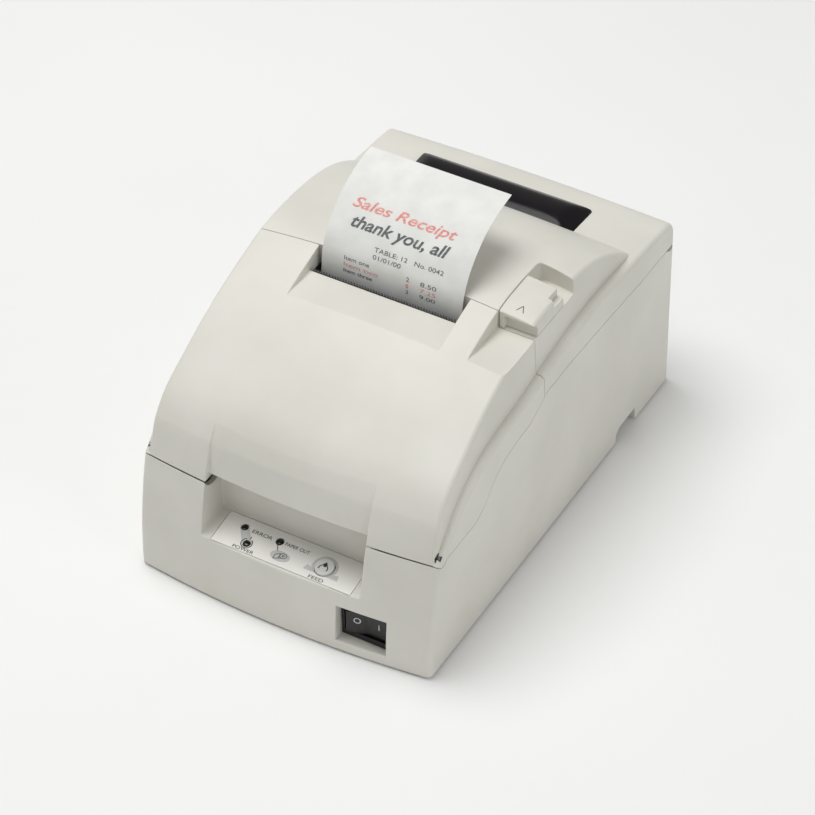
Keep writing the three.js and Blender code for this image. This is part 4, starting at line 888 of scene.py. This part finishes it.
def lowerCaseShell(shell):
    # the shell below the seam, with hinge ears, screw bosses, and holes for the controls and sockets
    half, clearance = case["halfWidth"], case["clearance"]
    lower = combine(copyOf(shell), [slab(-gap, -20)], "INTERSECT")
    rearReach = math.hypot(case["rearY"] - hinge["rearY"], hinge["rearZ"] - case["rearSeamZ"] - gap) + clearance
    scoop = rodSolid(hinge["rearY"], hinge["rearZ"], -half - 1, half + 1, rearReach, 64)
    combine(lower, [hingeBarrel(-half - 1, half + 1, clearance), scoop])
    for side in (-1, 1):
        e0, e1 = span(side, earInnerX, earOuterX)
        b0, b1 = span(side, earInnerX, innerX + 1)
        rearZ, frontZ = hinge["rearZ"], hinge["frontZ"]
        seamRear, seamFront = case["rearSeamZ"], case["frontSeamZ"]
        y, reach = hinge["rearY"], ears["reach"]
        pieces = [
            rodSolid(y, rearZ, e0, e1, ears["rear"]),
            boxSolid((e0, y - reach, rearZ - 1.5), (e1, y, rearZ + 1.5)),
            boxSolid((e0, y - reach, seamRear - 16), (e1, y - reach / 2, rearZ)),
            boxSolid((b0, y - reach, seamRear - 16), (b1, y - reach / 2, seamRear - 8)),
        ]
        y = hinge["frontY"]
        f0, f1 = span(side, earInnerX, earOuterX - 0.8)
        drop = [(0, -1.2), (1.6, -1.7), (3.7, -3.1), (6, -5)]
        drop += [(reach, -5), (reach, 0), (4.8, 0), (2.4, -0.8), (0, 0)]
        pieces += [
            rodSolid(y, frontZ, f0, f1, ears["front"]),
            prismSolid(np.array(drop) + (y, frontZ), f0, f1),
            boxSolid((f0, y + reach / 2, seamFront - 16), (f1, y + reach, frontZ - 4)),
            boxSolid((b0, y + reach / 2, seamFront - 16), (b1, y + reach, seamFront - 8)),
        ]
        combine(lower, pieces, "UNION")
        combine(
            lower,
            [
                rodSolid(hinge["frontY"], frontZ, e0 - 1, e1 + 1, hinge["frontPin"] + clearance),
                rodSolid(hinge["rearY"], rearZ, e0 - 1, e1 + 1, hinge["rearPin"] + clearance),
            ],
        )
        for y in boss["ys"]:
            x = side * boss["x"]
            near, away = sorted((x, side * (half - case["wall"] / 2)))
            web = boxSolid((near, y - 1.2, boss["bottomZ"]), (away, y + 1.2, boss["topZ"]))
            combine(lower, [uprightRod(x, y, boss["bottomZ"], boss["topZ"], boss["radius"]), web], "UNION")
            combine(lower, [uprightRod(x, y, 0, boss["topZ"] - 2, boss["bore"])])
    labelHalf = panel["halfWidth"] - panel["labelMargin"] + clearance
    label = panelBlock((-labelHalf, 1.3, -panel["labelDepth"]), (labelHalf, panel["depth"] - 0.9, 6))
    holes = [panelRod(x, y, -8, 8, ledRadius + 0.35) for x, y in leds.values()]
    halfX, halfZ = switch["width"] / 2 - 1, switch["height"] / 2 - 1
    holes += [
        label,
        panelRod(feed["x"], feed["y"], -8, 8, feed["radius"] + 0.4, 64),
        boxSolid(
            (switch["x"] - halfX, switch["faceY"] - 2, switch["z"] - halfZ),
            (switch["x"] + halfX, switch["faceY"] + 6, switch["z"] + halfZ),
        ),
        boxSolid((-52, bayFrontY - 6, rear["channelHeight"] + 5), (52, bayFrontY + 2, rear["bayHeight"] - 4)),
    ]
    return combine(lower, holes)


def frontCoverShell(shell, outer):
    # the shell above the seam and ahead of the cover seam, with the paper slot and its two hinge discs
    half, clearance, seamY = case["halfWidth"], case["clearance"], case["coverSeamY"]
    ahead = boxSolid((-farAway,) * 3, (farAway, seamY - gap, farAway))
    cover = combine(copyOf(shell), [slab(gap, case["crestZ"] + 40), ahead], "INTERSECT")
    bandLow = boxSolid(
        (-panel["halfWidth"], case["frontY"] - 10, case["frontSeamZ"] - 10),
        (panel["halfWidth"], case["frontY"] + 40, recessTopZ),
    )
    slot = boxSolid(
        (-mouth["halfWidth"], mouth["frontY"], mouth["rampBackZ"] - 20),
        (mouth["halfWidth"], seamY, case["crestZ"] + 9),
    )
    combine(cover, [bandLow, mouthTool(), slot])
    y, z, room = hinge["frontY"], hinge["frontZ"], ears["front"] + 0.4
    for side in (-1, 1):
        barrel = hingeBarrel(*span(side, innerX + 0.05, half - 0.05), -0.02)
        disc = combine(barrel, [copyOf(outer)], "INTERSECT")
        combine(cover, [disc], "UNION")
        e0, e1 = span(side, earInnerX - clearance, innerX)
        p0, p1 = span(side, earInnerX - clearance, half - 0.8)
        combine(
            cover,
            [
                rodSolid(y, z, e0, e1, room),
                boxSolid((e0, y - room, case["frontSeamZ"] - 4), (e1, y + room, z)),
                rodSolid(y, z, p0, p1, hinge["frontPin"] + clearance),
            ],
        )
    return cover


arm = {"x": 44.0, "width": 3.0, "rearY": 3.0, "frontY": -12.2, "axisY": -9.2, "axisZ": 70.0, "lineZ": 88.0}


def rollCoverShell(shell, outer):
    # the shell above the seam and behind the cover seam, with the platen's arms, hinge ears and slots
    clearance, seamY = case["clearance"], case["coverSeamY"]
    behind = boxSolid((-farAway, seamY + gap, -farAway), (farAway,) * 3)
    cover = combine(copyOf(shell), [slab(gap, case["crestZ"] + 40), behind], "INTERSECT")
    stemX, slotY = lever["innerX"] + 6, seamY + 5
    slot = boxSolid(
        (stemX - 0.5, slotY - 0.5, leverFloorZ - 8),
        (stemX + 6.5, slotY + 7 + lever["travel"], leverFloorZ + 4),
    )
    combine(cover, [windowSolid(clearance), slot])
    y, z = hinge["rearY"], hinge["rearZ"]
    for side in (-1, 1):
        a0, a1 = span(side, arm["x"], arm["x"] + arm["width"])
        low = boxSolid((a0, arm["frontY"], arm["axisZ"] - 4), (a1, arm["rearY"], arm["lineZ"] + 10))
        high = boxSolid((a0, seamY + 1, arm["lineZ"]), (a1, arm["rearY"], domeEdgeZ))
        e0, e1 = span(side, earInnerX - clearance - case["wall"], earInnerX - clearance)
        ear = rodSolid(y, z, e0, e1, ears["rear"])
        root = boxSolid((e0, y - ears["rear"], z), (e1, y + ears["rear"], rimTopZ - 5))
        added = combine(combine(low, [high], "UNION"), [copyOf(outer)], "INTERSECT")
        earAdded = combine(combine(ear, [root], "UNION"), [copyOf(outer)], "INTERSECT")
        combine(cover, [added, earAdded], "UNION")
        r0, r1 = span(side, earInnerX - clearance, innerX)
        room = ears["rear"] + 0.35
        combine(
            cover,
            [
                rodSolid(arm["axisY"], arm["axisZ"], a0 - 1, a1 + 1, 1.8),
                rodSolid(y, z, r0, r1, room),
                boxSolid((r0, y - room, case["rearSeamZ"] - 4), (r1, y + room, z)),
                rodSolid(y, z, e0 - 1, e1 + 1, hinge["rearPin"] + clearance),
            ],
        )
    return cover


def raisedSolid(name, loop, bottom, top, place, soft, steps=10):
    # a wall up from the bottom, a quarter-round edge, then rings that shrink to the middle of the top
    outward = outwardOf(loop)
    rings = [place(loop[:, 0], loop[:, 1], bottom(loop[:, 0], loop[:, 1]))]
    for angle in np.linspace(0, math.pi / 2, 7):
        moved = loop - outward * soft * (1 - math.cos(angle))
        height = top(moved[:, 0], moved[:, 1]) - soft * (1 - math.sin(angle))
        rings.append(place(moved[:, 0], moved[:, 1], height))
    middle = moved.mean(axis=0)
    for share in np.linspace(1, 0.02, steps)[1:]:
        inner = middle + (moved - middle) * share
        rings.append(place(inner[:, 0], inner[:, 1], top(inner[:, 0], inner[:, 1])))
    return ringSolid(name, rings)


hoodZ = rimTopZ - 1.5


def windowTop(x, y):
    # a low hump across Y, held down near each end by a slope; the lesser of the two, blended
    along = np.array([0, 5, 11, 17.5, 22.5])
    height = np.array([3.2, 4.95, 5.0, 3.7, 0.6])
    curve = splineThrough(np.column_stack([along, height]), 60)
    hump = np.interp(y - window["frontY"], curve[:, 0], curve[:, 1])
    middle, half = (window["leftX"] + window["rightX"]) / 2, (window["rightX"] - window["leftX"]) / 2
    slope = (half - np.abs(x - middle)) / window["endSlope"] + 0.4
    blend = 0.8
    return hoodZ - blend * np.log(np.exp(-hump / blend) + np.exp(-slope / blend))


def windowSolid(grow):
    # the humped window with a room under it; grown, a plain block that cuts its opening
    low = (window["leftX"] - grow, window["frontY"] - grow)
    high = (window["rightX"] + grow, window["rearY"] + grow)
    loop = roundedLoop(low, high, [0.8 + grow] * 4)
    if grow:
        rings = [onTop(loop[:, 0], loop[:, 1], np.full(len(loop), z)) for z in (hoodZ - 9, hoodZ + 12)]
        return ringSolid("windowHole", rings)
    solid = raisedSolid("window", loop, level(hoodZ - 8), windowTop, onTop, 0.25, 26)
    room = boxSolid(
        (window["leftX"] + 6, window["frontY"] + 2.5, hoodZ - 12),
        (window["rightX"] - 6, window["rearY"] - 2.5, hoodZ - 0.5),
    )
    return combine(solid, [room])


def leverShell():
    # the dome's own surface over a block, with a round finger hollow under its front edge
    seamY, clearance = case["coverSeamY"], case["clearance"]
    low = (lever["innerX"] + clearance, seamY + case["seamGap"])
    high = (case["halfWidth"] + 2, seamY + lever["length"])
    loop = roundedLoop(low, high, [0.5, 1.0, 0.6, 0.5], 1.2)

    def top(x, y):
        return skinTopZ(np.minimum(x, domeHalf - 0.5), y) - lever["sink"]

    block = raisedSolid("lever", loop, level(leverFloorZ + clearance), top, onTop, 0.7, 16)
    step = case["gridStep"]
    dome = crossSolid("leverDome", domeOutline(step), domeHalf, case["domeRound"], domeForm, step)
    combine(block, [dome], "INTERSECT")
    fingerX = (lever["innerX"] + 3, case["halfWidth"])
    hollow = rodSolid(seamY - 1, leverFloorZ + 3.2, *fingerX, lever["fingerRadius"], 64)
    notch = boxSolid(
        (domeHalf - 3, seamY + lever["length"] - 9, leverFloorZ + 5),
        (case["halfWidth"] + 3, seamY + lever["length"] + 1, case["crestZ"] + 5),
    )
    combine(block, [hollow, notch])
    stemX, slotY = lever["innerX"] + 6, seamY + 5
    stem = boxSolid((stemX, slotY, leverFloorZ - case["wall"] - 9), (stemX + 6, slotY + 6, leverFloorZ + 1))
    return combine(block, [stem], "UNION")


print("case: outer form, hollows and walls")
outer = outerForm()
combine(outer, [recessTool(), bandTool(), leverTool(), switchTool(), *channelTools()])
shell = combine(copyOf(outer), [combine(innerForm(), grownTools())])
print("case: lower case, front cover, roll cover")
finishPiece(lowerCaseShell(shell), "lowerCaseShell", "root", "lower_case", "case_abs")
finishPiece(frontCoverShell(shell, outer), "frontCoverShell", "front_cover", "front_cover", "case_abs")
finishPiece(rollCoverShell(shell, outer), "rollCoverShell", "roll_cover", "roll_cover", "case_abs")
finishPiece(leverShell(), "releaseLever", "lever", "cover_open_lever", "case_abs")
finishPiece(windowSolid(0), "smokedWindow", "roll_cover", "roll_window", "smoked_window", 50)
for spare in (outer, shell):
    bpy.data.objects.remove(spare)

print("panel, switch and lever details")


def flatPrint(name, outlines, place, finish, body, thickness=0.04):
    # ink as thin plates: each closed outline of (u, v) points goes through place at two heights
    pieces = []
    for outline in outlines:
        outline = np.asarray(outline, float)
        rings = [place(outline[:, 0], outline[:, 1], height) for height in (0.0, thickness)]
        pieces.append(ringSolid("ink", rings))
    joined(name, pieces, finish, body)


def joined(name, pieces, finish, body):
    # the meshes of several pieces as one mesh that moves with a body
    points, faces, first = [], [], 0
    for piece in pieces:
        mesh = piece.data
        points.append(meshPoints(mesh))
        faces += [[first + index for index in polygon.vertices] for polygon in mesh.polygons]
        first += len(mesh.vertices)
        bpy.data.objects.remove(piece)
    printed(addMesh(name, np.vstack(points) / mm, faces), finish, body)


def meshPoints(mesh):
    # every vertex of a mesh as one row, in metres
    flat = np.empty(len(mesh.vertices) * 3)
    mesh.vertices.foreach_get("co", flat)
    return flat.reshape(-1, 3)


def printed(piece, finish, body):
    # gives a print its ink and lets it move with its body
    piece.data.materials.clear()
    piece.data.materials.append(finishes[finish])
    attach(piece, body)


def ribbonAlong(path, width):
    # a closed outline of even width along an open path
    path = np.asarray(path, float)
    tangent = unitRows(np.gradient(path, axis=0))
    side = np.column_stack([-tangent[:, 1], tangent[:, 0]]) * width / 2
    return np.vstack([path + side, (path - side)[::-1]])


def stroke(points, width, count=4):
    # an even ribbon along straight lines between points
    return ribbonAlong(evenPoints(np.array(points, float), count), width)


def arcPath(x, y, radius, start, end, count=24, flat=1.0):
    # radius times cosine and sine between two angles in degrees
    angle = np.radians(np.linspace(start, end, count))
    return np.column_stack([x + radius * np.cos(angle), y + flat * radius * np.sin(angle)])


def printWords(name, words, low, high, place, finish, body, slant=0.0, weight=0.0, cutEvery=0.0):
    # text turned into a mesh, stretched to a rectangle of (u, v) and laid on a surface by place;
    # on a curved sheet it is first cut into bands of even height, so that it can bend
    curve = bpy.data.curves.new(name, "FONT")
    curve.body, curve.shear, curve.offset, curve.resolution_u = words, slant, weight, 4
    source = addObject(name, curve)
    depsgraph = bpy.context.evaluated_depsgraph_get()
    mesh = bpy.data.meshes.new_from_object(source.evaluated_get(depsgraph), depsgraph=depsgraph)
    bpy.data.objects.remove(source)
    u, v, _ = meshPoints(mesh).T
    u = low[0] + (high[0] - low[0]) * (u - u.min()) / (u.max() - u.min())
    v = low[1] + (high[1] - low[1]) * (v - v.min()) / (v.max() - v.min())
    mesh.vertices.foreach_set("co", np.column_stack([u, v, 0 * u]).ravel())
    if cutEvery:
        work = bmesh.new()
        work.from_mesh(mesh)
        for height in np.arange(low[1] + cutEvery, high[1], cutEvery):
            parts = work.verts[:] + work.edges[:] + work.faces[:]
            bmesh.ops.bisect_plane(work, geom=parts, plane_co=(0, height, 0), plane_no=(0, 1, 0))
        work.to_mesh(mesh)
        work.free()
        u, v, _ = meshPoints(mesh).T
    mesh.vertices.foreach_set("co", (place(u, v, 0.05) * mm).ravel())
    printed(addObject(name, mesh), finish, body)


def ledLens(x, y):
    # a rod whose top is a shallow dome: height is the sine of the turn that shrinks its radius
    rings = [onPanel(atHeight(circlePoints((x, y), ledRadius, 32), z)) for z in (-5.9, 0.05)]
    for turn in np.linspace(0, math.pi / 2, 7)[1:]:
        circle = circlePoints((x, y), max(0.05, ledRadius * math.cos(turn)), 32)
        rings.append(onPanel(atHeight(circle, 0.05 + 0.5 * math.sin(turn))))
    return ringSolid("lens", rings)


def feedCap():
    # a round cap with a soft rim, its top dished by the square of the distance from the middle
    middle, reach, top = (feed["x"], feed["y"]), feed["radius"], feed["top"]
    rings = [atHeight(circlePoints(middle, reach, 64), -2.6)]
    for turn in np.linspace(0, math.pi / 2, 6):
        circle = circlePoints(middle, reach - 0.5 * (1 - math.cos(turn)), 64)
        rings.append(atHeight(circle, top - 0.5 * (1 - math.sin(turn))))
    for share in np.linspace(0.95, 0.02, 8):
        circle = circlePoints(middle, (reach - 0.5) * share, 64)
        rings.append(atHeight(circle, top - feed["dish"] * (1 - share**2)))
    cap = ringSolid("cap", onPanel(np.array(rings)))
    return combine(cap, [panelRod(feed["x"], feed["y"], feed["stemEnd"], -2.5, 1.6)], "UNION")


def onLabel(u, v, height):
    # just above the panel's film
    return onPanel(np.column_stack([u, v, np.full(len(u), 0.02) + height]))


def onCap(u, v, height):
    # just above the cap's dished top
    far = np.hypot(u - feed["x"], v - feed["y"]) / (feed["radius"] - 0.5)
    return onPanel(np.column_stack([u, v, feed["top"] - feed["dish"] * (1 - far**2) + 0.01 + height]))


for name, (x, y) in leds.items():
    finishPiece(ledLens(x, y), name + "_lens", "root", name, "led_lens", 60)
finishPiece(feedCap(), "feedCap", "feed_button", "feed_button", "button_grey", 50)

errorAt, powerAt, paperAt = leds["led_error"], leds["led_power"], leds["led_paper_out"]
feedX, feedY = feed["x"], feed["y"]
arch = arcPath(feedX, feedY, 6.5, 200, -20, 40)
wings = np.array([(8.4, -1.4), (9.2, -4.4), (-9.2, -4.4), (-8.4, -1.4)]) + (feedX, feedY)
pad = np.vstack([arch, wings])
ellipse = arcPath(-3.0, 7.0, 5.2, 0, 354, 60, 0.56)
flatPrint("paleMarks", [stroke([errorAt, powerAt], 4.4, 12), ellipse], onLabel, "paleInk", "root")
surround = combine(
    ringSolid("surround", [onLabel(pad[:, 0], pad[:, 1], h) for h in (0.0, 0.05)]),
    [panelRod(feedX, feedY, -2, 2, feed["radius"] + 0.4, 64)],
)
joined("feedSurround", [surround], "paleInk", "root")
line = panel["lineWidth"]
icon = [
    ribbonAlong(arcPath(powerAt[0], powerAt[1], 2.75, 60, -245, 48), line * 1.2),
    stroke([(powerAt[0] + 0.3, powerAt[1] + 2.5), (powerAt[0] + 0.3, powerAt[1] + 4.3)], line),
    stroke([(paperAt[0], paperAt[1] - 2.0), (paperAt[0] + 1.6, paperAt[1] - 5.0)], line),
    ribbonAlong(arcPath(-1.6, 7.6, 1.75, 0, 360, 36, 0.8), line),
    ribbonAlong(arcPath(-1.6, 7.6, 0.55, 0, 360, 20, 0.8), line),
    stroke([(-3.1, 8.5), (-5.6, 7.2), (-5.6, 4.6), (-3.4, 5.6), (-1.9, 6.2)], line, 24),
    stroke([(-3.2, 8.4), (-3.4, 5.6)], line),
]
flatPrint("panelIcons", icon, onLabel, "greyInk", "root", 0.06)
for words, low, high in (
    ("ERROR", (-22.4, 13.3), (-11.4, 15.3)),
    ("POWER", (-26.6, 2.1), (-15.2, 3.9)),
    ("PAPER OUT", (-4.4, 13.5), (8.8, 15.5)),
    ("FEED", (14.9, 2.1), (22.9, 3.9)),
):
    name = "label" + words.split()[0]
    printWords(name, words, low, high, onLabel, "greyInk", "root", 0.0, 0.008)
arrow = [
    [(feedX - 1.3, feedY + 0.9), (feedX + 1.3, feedY + 0.9), (feedX, feedY + 2.6)],
    stroke([(feedX, feedY + 1.2), (feedX, feedY - 0.2)], 1.3),
    ribbonAlong(arcPath(feedX, feedY - 1.4, 2.2, 200, 100, 12), 0.5),
    ribbonAlong(arcPath(feedX, feedY - 1.4, 2.2, 80, -20, 12), 0.5),
]
flatPrint("feedMark", arrow, onCap, "blackInk", "feed_button")

rocker = {"pivotY": -112.6, "halfX": 10.2, "tilt": math.radians(8)}


def onRocker(u, v, height):
    # the rocker's two faces meet at a ridge; u is measured from the pivot, and the whole is tilted
    face = -3.2 - 1.4 * np.abs(u) / rocker["halfX"] - 0.01 - height
    c, t = math.cos(rocker["tilt"]), math.sin(rocker["tilt"])
    x, y = switch["x"] + u * c - face * t, rocker["pivotY"] + u * t + face * c
    return np.column_stack([x, y, switch["z"] + v])


marks = [
    ribbonAlong(arcPath(-4.8, 1.4, 1.55, 0, 360, 36), 0.5),
    ribbonAlong([(6.2, -0.9), (6.2, 0.9), (6.2, 2.7)], 0.5),
]
flatPrint("rockerMarks", marks, onRocker, "whiteInk", "power_rocker")


def onLever(u, v, height):
    # just above the lever's top, which lies a little under the dome's surface
    return np.column_stack([u, v, skinTopZ(u, v) - lever["sink"] + height])


chevron = stroke([(62.4, -6.2), (64.2, -2.4), (66.0, -6.2)], 0.4, 16)
flatPrint("leverMark", [chevron], onLever, "greyInk", "lever")

print("paper strip and its print")
paper = {"lineY": -14.5, "topZ": mouth["rampBackZ"], "thick": 0.14}
paperCurve = splineThrough(
    [
        (paper["lineY"], boxOf("paper_strip")[0][2]),
        (paper["lineY"], paper["topZ"] - 14),
        (paper["lineY"] + 0.9, paper["topZ"]),
        (paper["lineY"] + 3.3, paper["topZ"] + 11),
        (paper["lineY"] + 10.5, paper["topZ"] + 21.6),
        (paper["lineY"] + 22, paper["topZ"] + 30.6),
        (paper["lineY"] + 35, paper["topZ"] + 35.6),
        (paper["lineY"] + 48, paper["topZ"] + 37.8),
    ],
    140,
)
paperTangent = unitRows(np.gradient(paperCurve, axis=0))
paperNormal = np.column_stack([-paperTangent[:, 1], paperTangent[:, 0]])  # towards the printed side
paperLength = np.concatenate([[0], np.cumsum(np.linalg.norm(np.diff(paperCurve, axis=0), axis=1))])
mouthLength = np.interp(paper["topZ"], paperCurve[:60, 1], paperLength[:60])


def onPaper(u, v, height):
    # v is the length along the sheet from the tear bar's height; points lie just off the printed side
    along = v + mouthLength
    y, z = (np.interp(along, paperLength, paperCurve[:, k]) for k in (0, 1))
    ny, nz = (np.interp(along, paperLength, paperNormal[:, k]) for k in (0, 1))
    lift = 0.05 + height
    return np.column_stack([u, y + ny * lift, z + nz * lift])


def paperSheet():
    # the curve and its copy moved back by the sheet's thickness, carried across in even steps
    outline = np.vstack([paperCurve, (paperCurve - paperNormal * paper["thick"])[::-1]])
    x = np.linspace(stripLow[0], stripHigh[0], 20)
    return ringSolid("paperSheet", [atX(outline, at) for at in x])


finishPiece(paperSheet(), "paperSheet", "roll_cover", "paper_strip", "paper", 50)
red, black = "redRibbonInk", "blackRibbonInk"
receipt = [
    # words, low corner, high corner, finish, slant, weight
    ("Sales Receipt", (-30, 31.0), (25.5, 38.0), red, 0.3, 0.012),
    ("thank you, all", (-27, 21.5), (25, 29.5), black, 0.3, 0.02),
    ("TABLE: 12   No. 0042", (-11.5, 15.6), (25.5, 17.8), black, 0.0, 0.0),
    ("01/01/00", (-11.5, 12.0), (3.5, 14.2), black, 0.0, 0.0),
]
rows = [
    # low, high, finish, then each entry with its two ends and weight
    (7.0, 9.2, black, ("Item one", -26, -12.5, 0.0), ("2", 7.5, 9, 0.0), ("8.50", 15, 23.5, 0.0)),
    (3.6, 5.8, red, ("Item two", -26, -7.5, 0.0), ("1", 7.5, 8.7, 0.0), ("7.25", 15, 23.5, 0.0)),
    (0.4, 2.4, black, ("Item three", -26, -10.5, 0.012), ("3", 7.5, 9, 0.0), ("9.00", 15, 23.5, 0.0)),
]
for column in range(3):
    for low, high, ink, *entries in rows:
        words, start, end, weight = entries[column]
        receipt.append((words, (start, low), (end, high), ink, 0.0, weight))
for row, (words, low, high, ink, slant, weight) in enumerate(receipt):
    printWords(f"receiptLine{row}", words, low, high, onPaper, ink, "roll_cover", slant, weight, 1.2)


print("camera, floor and light")
view = {
    "azimuth": 30.844,
    "elevation": 41.889,
    "roll": -1.071,
    "distance": 1627.772,
    "aside": -0.189,
    "up": -13.271,
    "targetZ": 60.0,
    "sensor": 36.0,
    "lens": 148.957222,
}


def cameraPlace():
    # looks back along the azimuth and elevation to the target, then turns about its own axis
    a, e, r = (math.radians(view[k]) for k in ("azimuth", "elevation", "roll"))
    back = np.array([math.sin(a) * math.cos(e), -math.cos(a) * math.cos(e), math.sin(e)])
    right = np.cross(-back, (0, 0, 1))
    right /= np.linalg.norm(right)
    axes = np.array([right, np.cross(right, -back), back])
    turn = np.array([[math.cos(r), math.sin(r), 0], [-math.sin(r), math.cos(r), 0], [0, 0, 1]])
    axes = turn @ axes
    place = axes.T @ np.array([view["aside"], view["up"], view["distance"]]) + (0, 0, view["targetZ"])
    return axes, place * mm


axes, place = cameraPlace()
camera = addObject("camera", bpy.data.cameras.new("camera"))
camera.data.sensor_width, camera.data.lens = view["sensor"], view["lens"]
matrix = np.eye(4)
matrix[:3, :3], matrix[:3, 3] = axes.T, place
camera.matrix_world = Matrix(matrix.tolist())
bpy.context.scene.camera = camera

floorSize = 6000.0
floor = addMesh(
    "floor",
    [(x * floorSize / 2, y * floorSize / 2, 0) for x, y in ((-1, -1), (1, -1), (1, 1), (-1, 1))],
    [(0, 1, 2, 3)],
)
floor.data.materials.append(grained("paleFloor", "#F6F6F5", "#F8F8F7", 0.9, 2.0, 0.01, 300.0))

lights = {
    # name: (place in mm, looks at, size in mm, power in watts)
    "overhead": ((-350, -20, 1500), (0, 0, 60), 1000, 14.0),
    "front": ((-900, -1300, 800), (0, 0, 60), 900, 0.5),
    "side": ((1500, -300, 700), (0, 0, 60), 900, 3.6),
}
for name, (at, target, size, power) in lights.items():
    data = bpy.data.lights.new(name, "AREA")
    data.shape, data.size, data.energy = "DISK", size * mm, power
    lamp = addObject(name, data)
    lamp.location = np.array(at) * mm
    direction = np.array(target, float) - np.array(at, float)
    lamp.rotation_euler = Vector(direction).to_track_quat("-Z", "Y").to_euler()
world = bpy.data.worlds.new("studio")
bpy.context.scene.world = world
world.use_nodes = True
sky = world.node_tree.nodes["Background"].inputs
sky["Color"].default_value, sky["Strength"].default_value = linearColour("#FFFFFF"), 0.4
bpy.context.scene.view_settings.view_transform = "Standard"
